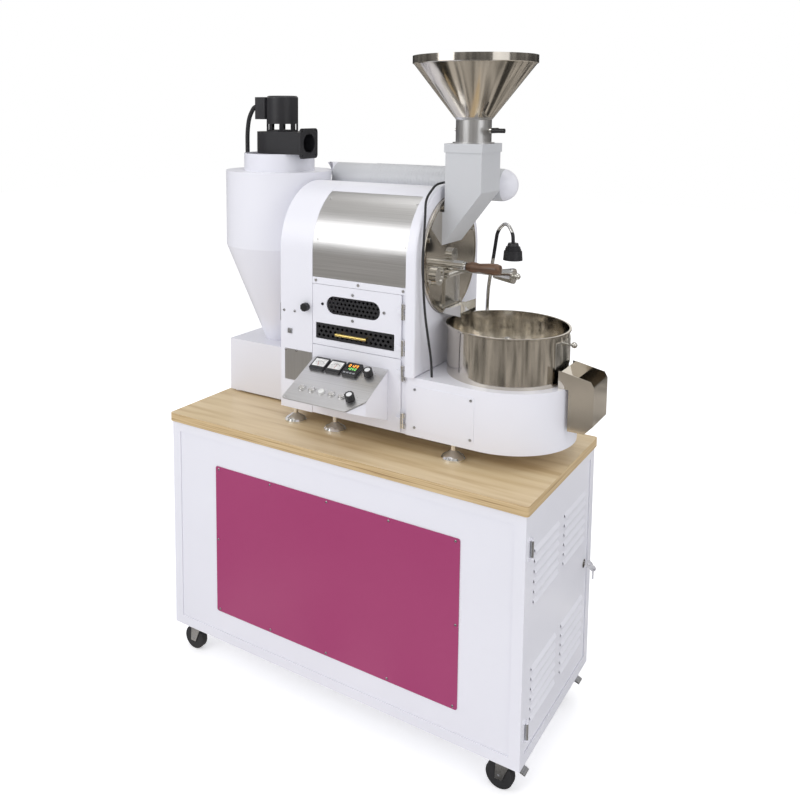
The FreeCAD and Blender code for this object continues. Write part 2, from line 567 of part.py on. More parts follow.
def drum():
    x0 = DRIVE_X + 14
    shell = pipe(DRUM_R, DRUM_R - DRUM_WALL, DRUM_L, V(x0, AXIS_Y, AXIS_Z), X)
    back = rod(DRUM_R, 4, V(x0, AXIS_Y, AXIS_Z), X)
    shaft_x = BODY_LEFT + 22
    shaft = rod(SHAFT_R, FACE_X - 1 - shaft_x, V(shaft_x, AXIS_Y, AXIS_Z), X)
    whole = shell.fuse([back, shaft])
    for i in range(VANE_COUNT):
        vane = box(x0 + 3, x0 + DRUM_L - 20, -2, 2, DRUM_R - 34, DRUM_R - 1)
        vane.rotate(V(0, 0, 0), X, i * 360 / VANE_COUNT)
        vane.translate(V(0, AXIS_Y, AXIS_Z))
        whole = whole.fuse(vane)
    spider = box(x0 + DRUM_L - 12, x0 + DRUM_L - 4, -9, 9, -(DRUM_R - 1), DRUM_R - 1)
    for i in range(2):
        arm = spider.copy()
        arm.rotate(V(0, 0, 0), X, 45 + 90 * i)
        arm.translate(V(0, AXIS_Y, AXIS_Z))
        whole = whole.fuse(arm)
    add("drum", whole)
    rear = pipe(BEARING_R, SHAFT_R + RUN_CLEAR, 16, V(DRIVE_X - 8, AXIS_Y, AXIS_Z), X)
    front = pipe(BEARING_R - 6, SHAFT_R + RUN_CLEAR, 12, V(BARREL_X + 8, AXIS_Y, AXIS_Z), X)
    add("drum_bearings", rear, front)
    sprocket("drum_sprocket", 62, 24, SHAFT_R, V(BODY_LEFT + 40, AXIS_Y, AXIS_Z))
    motor_y, motor_z = AXIS_Y, AXIS_Z - 190
    sprocket("motor_sprocket", 26, 10, 8, V(BODY_LEFT + 40, motor_y, motor_z))
    shaft = rod(8, 34, V(BODY_LEFT + 34, motor_y, motor_z), X)
    parts["motor_sprocket"] = parts["motor_sprocket"].fuse(shaft)
    gearcase = round_edges(box(BODY_LEFT + 54, DRIVE_X - 40, motor_y - 40, motor_y + 40, motor_z - 50, motor_z + 40), 8, X)
    gearcase = gearcase.cut(rod(8 + RUN_CLEAR, 30, V(BODY_LEFT + 50, motor_y, motor_z), X))
    can = rod(32, 39, V(DRIVE_X - 40, motor_y, motor_z - 10), X)
    add("drum_motor", gearcase.fuse(can))
    # The chain runs as one flat loop round both sprockets.
    x = BODY_LEFT + 42
    add("drive_chain", chain_loop(x, 62 + GAP, 26 + GAP, motor_z))


def sprocket(name, radius, teeth, bore, centre):
    wheel = rod(radius, 6, centre, X)
    gaps = []
    for i in range(teeth):
        turn = i * 2 * math.pi / teeth
        at = centre + Y * (radius + 1) * math.cos(turn) + Z * (radius + 1) * math.sin(turn)
        gaps.append(rod(radius * 0.075 + 1, 8, at - X, X))
    wheel = wheel.cut(Part.makeCompound(gaps))
    add(name, wheel.fuse(rod(bore + 6, 8, centre + X * 5, X)).cut(rod(bore, 30, centre - X * 10, X)))


def chain_loop(x, big, small, low_z):
    def loop(grow):
        rb, rs = big + grow, small + grow
        height = AXIS_Z - low_z
        lean = math.asin((rb - rs) / height)
        cy, sy = math.cos(lean), math.sin(lean)
        top = [V(x, AXIS_Y - rb * cy, AXIS_Z - rb * sy), V(x, AXIS_Y, AXIS_Z + rb), V(x, AXIS_Y + rb * cy, AXIS_Z - rb * sy)]
        low = [V(x, AXIS_Y + rs * cy, low_z - rs * sy), V(x, AXIS_Y, low_z - rs), V(x, AXIS_Y - rs * cy, low_z - rs * sy)]
        wire = Part.Wire([Part.Arc(*top).toShape(), Part.makeLine(top[2], low[0]),
                          Part.Arc(*low).toShape(), Part.makeLine(low[2], top[0])])
        return Part.Face(wire).extrude(X * 2.5)
    return loop(3).cut(loop(0))


def heater():
    # Two gas burner pipes lie under the drum, each with a row of ports.
    burners = []
    for y in (AXIS_Y - 45, AXIS_Y + 45):
        tube = pipe(10, 8, 250, V(DRIVE_X + 20, y, BURNER_Z), X)
        ports = [rod(1.5, 14, V(DRIVE_X + 34 + 18 * i, y, BURNER_Z), Z) for i in range(13)]
        burners.append(tube.cut(Part.makeCompound(ports)))
    for x in (DRIVE_X + 30, DRIVE_X + 250):
        saddle = box(x, x + 8, AXIS_Y - 62, BODY_BACK - 2, BURNER_Z - 18, BURNER_Z - 2)
        for y in (AXIS_Y - 45, AXIS_Y + 45):
            saddle = saddle.cut(rod(10, 20, V(x - 5, y, BURNER_Z), X))
        parts["chassis"] = parts["chassis"].fuse(saddle)
    add("burners", *burners)


def front():
    plate = arch(BARREL_X, PLATE_T, PLATE_R, BASE_TOP + GAP)
    plate = plate.cut(rod(BEARING_R - 6, PLATE_T + 2, V(BARREL_X - 1, AXIS_Y, AXIS_Z), X))
    # A shallow step lets the round face disc sit into the casting.
    plate = plate.cut(rod(FACE_R + 1, 8, V(FACE_X - 6, AXIS_Y, AXIS_Z), X))
    rounded = [e for e in plate.Edges if e.Length > 300 and abs(e.CenterOfMass.x - FACE_X) < 0.1]
    plate = plate.makeFillet(6, [e for e in rounded if e.BoundBox.YLength > 2 * PLATE_R - 1])
    face = rod(FACE_R, FACE_T, V(FACE_X - 6, AXIS_Y, AXIS_Z), X)
    face = face.makeFillet(3, [e for e in face.Edges if abs(e.CenterOfMass.x - (FACE_X - 6 + FACE_T)) < 0.1 and e.Length > 9])
    groove = pipe(FACE_R - 8, FACE_R - 12, 3, V(FACE_X - 6 + FACE_T - 2, AXIS_Y, AXIS_Z), X)
    mouth_x = FACE_X - 20
    mouth = box(mouth_x, FACE_X + 20, AXIS_Y - 42, AXIS_Y + 42, AXIS_Z + 45, AXIS_Z + 118)
    exit_hole = box(mouth_x, FACE_X + 20, AXIS_Y - 38, AXIS_Y + 38, AXIS_Z - 128, AXIS_Z - 62)
    trier_hole = rod(14, 60, V(BARREL_X - 10, TRIER_Y, TRIER_Z), X)
    glass_hole = rod(24, 60, V(BARREL_X - 10, GLASS_Y, GLASS_Z), X)
    shaft_hole = rod(SHAFT_R + RUN_CLEAR, 60, V(BARREL_X - 10, AXIS_Y, AXIS_Z), X)
    plate_cuts = [box(BARREL_X - 1, FACE_X + 20, AXIS_Y - 42, AXIS_Y + 42, AXIS_Z + 45, AXIS_Z + 118),
                  box(BARREL_X - 1, FACE_X + 20, AXIS_Y - 38, AXIS_Y + 38, AXIS_Z - 128, AXIS_Z - 62),
                  trier_hole, glass_hole]
    plate = plate.cut(Part.makeCompound(plate_cuts))
    add("front_plate", plate)
    face = face.cut(groove).cut(Part.makeCompound([mouth, exit_hole, trier_hole, glass_hole, shaft_hole]))
    add("face_disc", face)
    boss = rod(20, 10, V(FACE_X + 8, AXIS_Y, AXIS_Z), X)
    nuts = [boss.cut(rod(SHAFT_R + 1, 6, V(FACE_X + 7, AXIS_Y, AXIS_Z), X))]
    for i in range(8):
        turn = math.radians(22.5 + 45 * i)
        at = V(FACE_X + 8, AXIS_Y + 148 * math.cos(turn), AXIS_Z + 148 * math.sin(turn))
        nuts.append(rod(6, 4, at, X))
    add("face_bolts", *nuts)
    ring = pipe(27, 19, 10, V(FACE_X + 8, GLASS_Y, GLASS_Z), X)
    add("sight_glass_ring", ring.fuse(pipe(24 - GAP, 19, 12, V(FACE_X - 3, GLASS_Y, GLASS_Z), X)))
    add("sight_glass", rod(19 - RUN_CLEAR, 4, V(FACE_X + 11, GLASS_Y, GLASS_Z), X))
    trier()
    discharge()


GLASS_Y = 232.0
GLASS_Z = 1238.0
TRIER_Y = 296.0
TRIER_Z = 1241.0 + 18
GATE_HINGE_Z = 1238.0


def trier():
    # The sampling spoon slides in a short tube; half of its tube is cut open as a scoop.
    tube = pipe(15, 12, 52, V(FACE_X + 8, TRIER_Y, TRIER_Z), X)
    add("trier_tube", tube.fuse(pipe(14 - GAP, 12, 20, V(FACE_X - 11, TRIER_Y, TRIER_Z), X)))
    reach = 34
    spoon = rod(12 - RUN_CLEAR, reach + 62, V(FACE_X - reach, TRIER_Y, TRIER_Z), X)
    scoop = box(FACE_X - reach + 3, FACE_X - 4, TRIER_Y - 13, TRIER_Y + 13, TRIER_Z + 1, TRIER_Z + 14)
    hollow = rod(9.5, reach - 6, V(FACE_X - reach + 3, TRIER_Y, TRIER_Z), X)
    spoon = spoon.cut(scoop).cut(hollow)
    collar = rod(13, 6, V(FACE_X + 62, TRIER_Y, TRIER_Z), X)
    add("trier_spoon", spoon.fuse(collar))
    profile = [(0, 0), (11, 0), (15, 14), (12, 34), (15, 62), (16, 84), (13, 94), (0, 96)]
    outline = [V(FACE_X + 70.3 + h, TRIER_Y + r, TRIER_Z) for r, h in profile]
    handle = Part.Face(Part.makePolygon(outline + [outline[0]])).revolve(V(0, TRIER_Y, TRIER_Z), X, 360)
    add("trier_handle", handle.cut(rod(4, 20, V(FACE_X + 60, TRIER_Y, TRIER_Z), X)))
    parts["trier_spoon"] = parts["trier_spoon"].fuse(rod(4, 18, V(FACE_X + 62, TRIER_Y, TRIER_Z), X))


def discharge():
    # A flap hangs over the discharge hole; its lever carries a cone weight that keeps it shut.
    x0 = FACE_X + 8 + GAP
    hz = AXIS_Z - 52
    flap = round_edges(box(x0, x0 + 5, AXIS_Y - 46, AXIS_Y + 46, AXIS_Z - 138, hz), 6, X)
    barrel = rod(8, 92, V(x0 + 8, AXIS_Y - 46, hz), Y)
    flap = flap.fuse(barrel)
    bar_x, arm = x0 + 8, 150
    side = AXIS_Y + 34
    lever = rod(5, arm, V(bar_x, side, hz + 4), X)
    lever = lever.fuse(rod(6.2, 12, V(bar_x, side - 6, hz + 2), Y))
    flap = flap.fuse(lever).cut(rod(3 + RUN_CLEAR, 120, V(x0 + 8, AXIS_Y - 60, hz), Y))
    add("discharge_flap", flap)
    weight_at = bar_x + arm - 44
    profile = [(5.02, 0), (12, 0), (21, 52), (21, 58), (5.02, 58)]
    outline = [V(weight_at + h, side + r, hz + 4) for r, h in profile]
    weight = Part.Face(Part.makePolygon(outline + [outline[0]])).revolve(V(0, side, hz + 4), X, 360)
    knob = Part.makeSphere(9, V(bar_x + arm + 22, side, hz + 4))
    knob = knob.cut(box(bar_x, bar_x + arm + 15, side - 10, side + 10, hz - 10, hz + 20))
    weight = weight.fuse(rod(5.02, 22, V(weight_at + 42, side, hz + 4), X)).fuse(knob)
    weight = weight.cut(rod(5, arm, V(bar_x, side, hz + 4), X))
    add("counterweight", weight)
    ears = []
    for y in (AXIS_Y - 54, AXIS_Y + 46.5):
        ear = box(FACE_X + 8, x0 + 14, y, y + 7.5, hz - 8, hz + 8)
        ears.append(ear)
    pin = rod(3, 115, V(x0 + 8, AXIS_Y - 57, hz), Y)
    add("flap_hinge", *[e.cut(rod(3, 20, V(x0 + 8, e.BoundBox.YMin - 2, hz), Y)) for e in ears], pin)
    # The fixed stainless apron guides the beans down into the tray.
    t = 1.5
    top, low = AXIS_Z - 142, TRAY_TOP + 12
    y0, y1 = AXIS_Y - 50, AXIS_Y + 50
    profile = [V(FACE_X + 8, y0, top), V(FACE_X + 12, y0, top), V(FACE_X + 62, y0, low + 10), V(FACE_X + 62, y0, low),
               V(FACE_X + 60, y0, low), V(FACE_X + 10, y0, top - 14), V(FACE_X + 8, y0, top - 14)]
    sheet = prism(profile, V(0, y1 - y0, 0))
    for y in (y0, y1 - t):
        cheek = prism([V(FACE_X + 8, y, top), V(FACE_X + 30, y, top + 2), V(FACE_X + 62, y, low + 34),
                       V(FACE_X + 62, y, low), V(FACE_X + 8, y, top - 14)], V(0, t, 0))
        sheet = sheet.fuse(cheek)
    add("discharge_chute", sheet)


def hopper():
    t = HOPPER_WALL
    centre = V(HOPPER_X, AXIS_Y, 0)
    outline = [(NECK_R, FEED_TOP + 1.5), (NECK_R, CONE_Z), (RIM_R - 4, RIM_Z - RIM_BAND), (RIM_R, RIM_Z - RIM_BAND + 2),
               (RIM_R, RIM_Z), (RIM_R - 3, RIM_Z), (RIM_R - 3, RIM_Z - RIM_BAND + 4), (NECK_R - t, CONE_Z + 1),
               (NECK_R - t, FEED_TOP + 1.5)]
    funnel = turned(outline, centre)
    funnel = funnel.fuse(pipe(NECK_R + 8, NECK_R - t, 3, V(HOPPER_X, AXIS_Y, FEED_TOP), Z))
    pivot_z = (FEED_TOP + CONE_Z) / 2 + 4
    funnel = funnel.cut(rod(4 + RUN_CLEAR, 2 * NECK_R + 20, V(HOPPER_X - NECK_R - 10, AXIS_Y, pivot_z), X))
    add("hopper", funnel)
    # The butterfly disc turns about a pin across the neck; a bent handle hangs outside.
    disc = rod(NECK_R - t - 0.5, 2, V(HOPPER_X, AXIS_Y, pivot_z - 1), Z)
    pin = rod(4, 2 * NECK_R + 24, V(HOPPER_X - NECK_R - 6, AXIS_Y, pivot_z), X)
    crank_x = HOPPER_X + NECK_R + 16
    lever = round_edges(box(crank_x, crank_x + 6, AXIS_Y - 44, AXIS_Y + 7, pivot_z - 7, pivot_z + 7), 5, X)
    grip = rod(6, 40, V(crank_x, AXIS_Y - 37, pivot_z), X)
    add("hopper_valve", disc.fuse([pin, lever, grip]))
    feed_box()


def feed_box():
    t = FEED_WALL
    x0, x1 = HOPPER_X - FEED_W / 2, HOPPER_X + FEED_W / 2
    y0, y1 = AXIS_Y - FEED_D / 2, AXIS_Y + FEED_D / 2
    knee = FEED_TOP - FEED_DROP
    low = AXIS_Z + 34
    side = [V(x0, y0, FEED_TOP - 3), V(x0, y0, AXIS_Z + 125), V(FACE_X + 8, y0, AXIS_Z + 125), V(FACE_X + 8, y0, low),
            V(x1, y0, knee), V(x1, y0, FEED_TOP - 3)]
    solid = prism(side, V(0, y1 - y0, 0))
    inner = [V(x0 + t, y0 + t, FEED_TOP), V(x0 + t, y0 + t, AXIS_Z + 125 + t), V(FACE_X + 7, y0 + t, AXIS_Z + 117),
             V(FACE_X + 7, y0 + t, low + t + 2), V(x1 - t, y0 + t, knee + t), V(x1 - t, y0 + t, FEED_TOP)]
    solid = solid.cut(prism(inner, V(0, y1 - y0 - 2 * t, 0)))
    lid = box(x0 - 3, x1 + 3, y0 - 3, y1 + 3, FEED_TOP - 24, FEED_TOP)
    lid = lid.cut(box(x0, x1, y0, y1, FEED_TOP - 25, FEED_TOP - 3))
    lid = lid.cut(rod(NECK_R - HOPPER_WALL, 10, V(HOPPER_X, AXIS_Y, FEED_TOP - 5), Z))
    add("feed_box", solid.fuse(lid))


def base():
    # The U-shaped base: straight flanks and a half-round end under the cooling tray.
    x0 = BARREL_X
    t = SKIN

    def outline(x_start, grow, z0, z1):
        slab = box(x_start, TRAY_X, AXIS_Y - BODY_R + grow, AXIS_Y + BODY_R - grow, z0, z1)
        return slab.fuse(rod(BODY_R - grow, z1 - z0, V(TRAY_X, AXIS_Y, z0), Z))

    shell = outline(x0, 0, BODY_Z, BASE_TOP)
    shell = shell.cut(outline(x0 + t, t, BODY_Z + t, BASE_TOP - t))
    hx0, hx1, hz0, hz1 = 762.0, 905.0, 848.0, 938.0
    shell = shell.cut(box(hx0, hx1, BODY_FRONT - 1, BODY_FRONT + t + 1, hz0, hz1))
    shell = shell.cut(rod(20, t + 2, V(TRAY_X, AXIS_Y, BASE_TOP - t - 1), Z))
    # Cooling air and chaff pass down through a ring of slots under the tray.
    for i in range(12):
        turn = 2 * math.pi * (i + 0.5) / 12
        at = V(TRAY_X + 95 * math.cos(turn), AXIS_Y + 95 * math.sin(turn), BASE_TOP - t - 1)
        shell = shell.cut(rod(14, t + 2, at, Z))
    add("base_housing", shell)
    panel = round_edges(box(744, 923, BODY_FRONT - 1.5, BODY_FRONT, 832, 954), 4, Y)
    screws = [rod(3.5, 1.8, V(x, BODY_FRONT - 3.3, z), Y) for x in (753, 914) for z in (841, 945)]
    add("access_panel", panel, *screws)
    feet = []
    for x, y in ((485, 157), (857, 157), (485, 489), (857, 489), (346, 157), (346, 489)):
        outline_points = [(0, 0), (FOOT_R, 0), (FOOT_R, 5), (FOOT_R - 4, 10), (12, 20), (7, 24), (7, FOOT_H), (0, FOOT_H)]
        feet.append(turned(outline_points, V(x, y, TABLE_Z)))
    add("levelling_feet", *feet)
    tray()


def tray():
    t = TRAY_WALL
    centre = V(TRAY_X, AXIS_Y, BASE_TOP)
    r = TRAY_R
    outline = [(0, 0), (r, 0), (r, TRAY_H - 6), (r + 4, TRAY_H - 4), (r + 4, TRAY_H), (r - t, TRAY_H), (r - t, t), (0, t)]
    bowl = turned(outline, centre)
    bowl = bowl.cut(rod(20, 10, centre - Z * 4, Z))
    for i in range(12):
        turn = 2 * math.pi * (i + 0.5) / 12
        bowl = bowl.cut(rod(14, 6, V(TRAY_X + 95 * math.cos(turn), AXIS_Y + 95 * math.sin(turn), BASE_TOP - 2), Z))
    gate_low, gate_high = SIEVE_Z + 3, SIEVE_Z + 63
    bowl = bowl.cut(box(TRAY_X, TRAY_X + r + 10, AXIS_Y - 50, AXIS_Y + 50, gate_low, gate_high))
    add("cooling_tray", bowl)
    sieve = pipe(r - t - GAP, 21, 2, V(TRAY_X, AXIS_Y, SIEVE_Z), Z)
    holes = []
    for ring in range(7):
        rho = 36 + ring * 18.5
        count = int(2 * math.pi * rho / 22)
        for i in range(count):
            turn = 2 * math.pi * i / count
            holes.append(box(-5, 5, -1.5, 1.5, SIEVE_Z - 1, SIEVE_Z + 3))
            holes[-1].rotate(V(0, 0, 0), Z, math.degrees(turn) + 90)
            holes[-1].translate(V(TRAY_X + rho * math.cos(turn), AXIS_Y + rho * math.sin(turn), 0))
    sieve = sieve.cut(Part.makeCompound(holes))
    legs = [box(-4, 4, r - 14, r - t - 4, BASE_TOP + t, SIEVE_Z) for i in range(3)]
    for i, leg in enumerate(legs):
        leg.rotate(V(0, 0, 0), Z, 120 * i + 30)
        leg.translate(V(TRAY_X, AXIS_Y, 0))
    add("tray_sieve", sieve.fuse(legs))
    # The stirrer: hub, arms and slanting paddles that sweep just over the sieve.
    hub = rod(18, 30, V(TRAY_X, AXIS_Y, SIEVE_Z + 4), Z).fuse(rod(9, SIEVE_Z + 4 - 900, V(TRAY_X, AXIS_Y, 900), Z))
    hub = hub.fuse(Part.makeSphere(14, V(TRAY_X, AXIS_Y, SIEVE_Z + 36)))
    for i in range(ARM_COUNT):
        arm = box(0, r - 22, -4, 4, SIEVE_Z + 20, SIEVE_Z + 28)
        for reach in (60, 100, 138):
            blade = box(reach - 17, reach + 17, -1.5, 1.5, SIEVE_Z + 3.5, SIEVE_Z + 24)
            blade.rotate(V(reach, 0, 0), Z, 28)
            arm = arm.fuse(blade)
        arm.rotate(V(0, 0, 0), Z, 360 / ARM_COUNT * i + 50)
        arm.translate(V(TRAY_X, AXIS_Y, 0))
        hub = hub.fuse(arm)
    add("stirrer", hub)
    case = round_edges(box(TRAY_X - 45, TRAY_X + 45, AXIS_Y - 35, AXIS_Y + 35, BODY_Z + SKIN, 915), 8, Z)
    add("stirrer_motor", case.cut(rod(9 + RUN_CLEAR, 40, V(TRAY_X, AXIS_Y, 895), Z)))
    gate = pipe(r + 2, r + GAP, gate_high - gate_low + 8, V(TRAY_X, AXIS_Y, gate_low - 4), Z)
    gate = gate.common(box(TRAY_X, TRAY_X + r + 10, AXIS_Y - 56, AXIS_Y + 56, 0, 2000))
    knob = rod(3, 16, V(TRAY_X + r + 1, AXIS_Y, gate_high - 8), X).fuse(Part.makeSphere(8, V(TRAY_X + r + 20, AXIS_Y, gate_high - 8)))
    add("tray_gate", gate.fuse(knob))
    # The outlet spout in front of the gate: floor and two cheeks, with a folded lip.
    x0, x1 = TRAY_X + BODY_R - 10, TRAY_X + BODY_R + 66
    y0, y1 = AXIS_Y - 58, AXIS_Y + 58
    fold = [V(x0 - 16, y0, BASE_TOP + GAP), V(x0 - 16, y0, SIEVE_Z - 2), V(x0, y0, SIEVE_Z - 4), V(x1 - 8, y0, SIEVE_Z - 18),
            V(x1, y0, SIEVE_Z - 32), V(x1, y0, 892), V(x1 - 22, y0, 868), V(x0 + 11, y0, 868), V(x0 + 11, y0, BASE_TOP + GAP)]
    spout = prism(fold, V(0, y1 - y0, 0))
    inner = box(x0 + 12.5, x1 - 1.5, y0 + 1.5, y1 - 1.5, 860, SIEVE_Z - 34)
    spout = spout.cut(inner)
    slide = prism([V(x0 - 20, y0 + 1.5, SIEVE_Z + 3), V(x0 - 20, y0 + 1.5, SIEVE_Z - 6), V(x0 + 12.5, y0 + 1.5, SIEVE_Z - 36),
                   V(x1 - 1.5, y0 + 1.5, SIEVE_Z - 36), V(x1 - 1.5, y0 + 1.5, SIEVE_Z + 3)], V(0, y1 - y0 - 3, 0))
    spout = spout.cut(slide)
    spout = spout.cut(rod(TRAY_R + GAP, 300, V(TRAY_X, AXIS_Y, BASE_TOP), Z))
    shell_clear = rod(BODY_R + GAP, 200, V(TRAY_X, AXIS_Y, BASE_TOP - 200), Z)
    add("outlet_chute", spout.cut(shell_clear))


def cyclone():
    c = V(CYCLONE_X, CYCLONE_Y, 0)
    t = 1.5
    low = CYCLONE_TOP - CYCLONE_CYL
    r = CYCLONE_R
    outline = [(COLLAR_R - 30, CYCLONE_TOP), (r, CYCLONE_TOP), (r, low), (CONE_LOW_R, CHAFF_TOP), (CONE_LOW_R - t, CHAFF_TOP),
               (r - t, low), (r - t, CYCLONE_TOP - t), (COLLAR_R - 30, CYCLONE_TOP - t)]
    body_shell = turned(outline, c)
    port = rod(DUCT_R - 2, 200, V(CYCLONE_X, DUCT_Y - 28, DUCT_Z - 24), X)
    body_shell = body_shell.cut(port)
    collar = pipe(COLLAR_R, COLLAR_R - t, COLLAR_H, V(CYCLONE_X, CYCLONE_Y, CYCLONE_TOP), Z)
    add("cyclone", body_shell.fuse(collar))
    end_x = HOPPER_X + 18
    start = CYCLONE_X + 90
    duct = pipe(DUCT_R, DUCT_R - t, end_x - start, V(start, DUCT_Y, DUCT_Z), X)
    duct = duct.cut(rod(r + GAP, 400, V(CYCLONE_X, CYCLONE_Y, low), Z))
    cap = Part.makeSphere(DUCT_R, V(end_x, DUCT_Y, DUCT_Z)).common(box(end_x, end_x + 60, 0, CAB_D + 80, 1300, 1600))
    duct = duct.fuse(cap)
    for i in range(30):
        x = start + 200 + 10 * i
        duct = duct.fuse(pipe(DUCT_R + 0.8, DUCT_R - 1, 3, V(x, DUCT_Y, DUCT_Z), X))
    stub = box(540, 620, DUCT_Y - 40, DUCT_Y + 24, AXIS_Z + 60, DUCT_Z - DUCT_R + 12)
    stub = stub.cut(rod(BODY_R + GAP, 100, V(530, AXIS_Y, AXIS_Z), X)).cut(rod(DUCT_R - 2, 100, V(530, DUCT_Y, DUCT_Z), X))
    add("exhaust_duct", duct.fuse(stub))
    box_x1 = BODY_LEFT - 1
    chaff = box(8, box_x1, 263, 503, TABLE_Z + 6, CHAFF_TOP - GAP)
    chaff = chaff.cut(box(8 + t, box_x1 - t, 263 + t, 503 - t, TABLE_Z + 6 + t, CHAFF_TOP - t - GAP))
    chaff = chaff.cut(rod(CONE_LOW_R - t, 10, V(CYCLONE_X, CYCLONE_Y, CHAFF_TOP - 6), Z))
    pads = [rod(12, 6, V(x, y, TABLE_Z), Z) for x in (28, box_x1 - 20) for y in (283, 483)]
    add("chaff_box", chaff.fuse(pads))
    blower()


def blower():
    z0 = SCROLL_Z
    cx = CYCLONE_X + 12
    r = 80.0
    out_x = cx + 128
    scroll = rod(r, SCROLL_H, V(cx, CYCLONE_Y, z0), Z)
    throat = box(cx, out_x, CYCLONE_Y - r, CYCLONE_Y - r + 2 * OUTLET_R + 8, z0, z0 + SCROLL_H)
    scroll = scroll.fuse(throat)
    scroll = scroll.cut(rod(r - 3, SCROLL_H - 6, V(cx, CYCLONE_Y, z0 + 3), Z))
    mid_y, mid_z = CYCLONE_Y - r + OUTLET_R + 4, z0 + SCROLL_H / 2
    scroll = scroll.cut(box(cx, out_x + 1, mid_y - OUTLET_R + 4, mid_y + OUTLET_R - 4, mid_z - 27, mid_z + 27))
    scroll = scroll.cut(rod(44, 5, V(cx, CYCLONE_Y, z0 - 1), Z))
    scroll = scroll.cut(rod(7 + RUN_CLEAR, 8, V(cx, CYCLONE_Y, z0 + SCROLL_H - 4), Z))
    plate = round_edges(box(out_x, out_x + 5, mid_y - FLANGE / 2, mid_y + FLANGE / 2, mid_z - FLANGE / 2, mid_z + FLANGE / 2), 12, X)
    plate = plate.cut(rod(OUTLET_R - 4, 20, V(out_x - 5, mid_y, mid_z), X))
    for dy in (-FLANGE_PITCH / 2, FLANGE_PITCH / 2):
        for dz in (-FLANGE_PITCH / 2, FLANGE_PITCH / 2):
            plate = plate.cut(rod(FLANGE_HOLE_R, 20, V(out_x - 5, mid_y + dy, mid_z + dz), X))
    add("blower_housing", scroll.fuse(plate))
    wheel = rod(66, 3, V(cx, CYCLONE_Y, z0 + 48), Z).fuse(rod(12, 14, V(cx, CYCLONE_Y, z0 + 40), Z))
    blades = []
    for i in range(12):
        blade = box(38, 66, -1, 1, z0 + 12, z0 + 48)
        blade.rotate(V(38, 0, 0), Z, 30)
        blade.rotate(V(0, 0, 0), Z, 30 * i)
        blade.translate(V(cx, CYCLONE_Y, 0))
        blades.append(blade)
    wheel = wheel.fuse(blades).fuse(rod(7, 24, V(cx, CYCLONE_Y, z0 + 50), Z))
    add("blower_impeller", wheel)
    can = rod(MOTOR_R, MOTOR_H, V(cx, CYCLONE_Y, MOTOR_Z), Z)
    can = can.cut(rod(MOTOR_R - 6, 22, V(cx, CYCLONE_Y, MOTOR_Z + 4), Z))
    for i in range(8):
        window = box(20, MOTOR_R + 5, -13, 13, MOTOR_Z + 5, MOTOR_Z + 24)
        window.rotate(V(0, 0, 0), Z, 45 * i + 10)
        window.translate(V(cx, CYCLONE_Y, 0))
        can = can.cut(window)
    can = can.cut(rod(7 + RUN_CLEAR, 20, V(cx, CYCLONE_Y, MOTOR_Z - 5), Z))
    can = can.makeFillet(8, [e for e in can.Edges if abs(e.CenterOfMass.z - MOTOR_Z - MOTOR_H) < 0.1])
    junction = round_edges(box(cx - 88, cx - 44, CYCLONE_Y - 32, CYCLONE_Y + 24, MOTOR_Z + 38, MOTOR_Z + MOTOR_H - 4), 6, Z)
    add("blower_motor", can.fuse(junction))


def arc_route(points, share=0.45):
    # Straight runs joined by tangent arcs as large as the runs allow.
    edges = []
    at = points[0]
    radii = []
    for i in range(1, len(points) - 1):
        back, ahead = points[i - 1] - points[i], points[i + 1] - points[i]
        run = min(back.Length, ahead.Length)
        half = (math.pi - back.getAngle(ahead)) / 2
        radius = share * run / math.tan(half)
        radii.append(round(radius, 1))
        reach = share * run
        b, a = V(back), V(ahead)
        b.normalize()
        a.normalize()
        start, end = points[i] + b * reach, points[i] + a * reach
        toward = b + a
        toward.normalize()
        middle = points[i] + toward * (radius / math.cos(half) - radius)
        edges.append(Part.makeLine(at, start))
        edges.append(Part.Arc(start, middle, end).toShape())
        at = end
    edges.append(Part.makeLine(at, points[-1]))
    print("lead radii", radii)
    return Part.Wire(edges)


def lead(points, radius):
    wire = arc_route(points)
    start = Part.Wire(Part.makeCircle(radius, points[0], points[1] - points[0]))
    return wire.makePipeShell([start], True, False)


def leads():
    cx = CYCLONE_X + 12
    z = MOTOR_Z + 78
    y = CYCLONE_Y - 4
    conduit = lead([V(cx - 88.3, y, z), V(cx - 110, y, z), V(cx - 130, y - 2, z - 34),
                    V(cx - 139, y, z - 79), V(cx - 141, y + 2, z - 129), V(cx - 139, y + 2, CYCLONE_TOP + GAP)], 7)
    x = FACE_X + 12
    sensor = lead([V(HOPPER_X - FEED_W / 2 - GAP, AXIS_Y - 40, AXIS_Z + 204), V(HOPPER_X - 66, AXIS_Y - 40, AXIS_Z + 204),
                   V(HOPPER_X - 74, AXIS_Y - 74, AXIS_Z + 200), V(HOPPER_X - 74, AXIS_Y - 132, AXIS_Z + 166),
                   V(HOPPER_X - 58, AXIS_Y - 164, AXIS_Z + 124), V(x + 1, AXIS_Y - 178, AXIS_Z + 60),
                   V(x + 1, AXIS_Y - 181, AXIS_Z), V(x + 2, AXIS_Y - 178, AXIS_Z - 70), V(x + 5, AXIS_Y - 172, AXIS_Z - 140),
                   V(x + 12, AXIS_Y - 163, AXIS_Z - 210), V(x + 18, AXIS_Y - 158, AXIS_Z - 260),
                   V(x + 20, AXIS_Y - 157, BASE_TOP + GAP)], 3.2)
    add("leads", conduit, sensor)


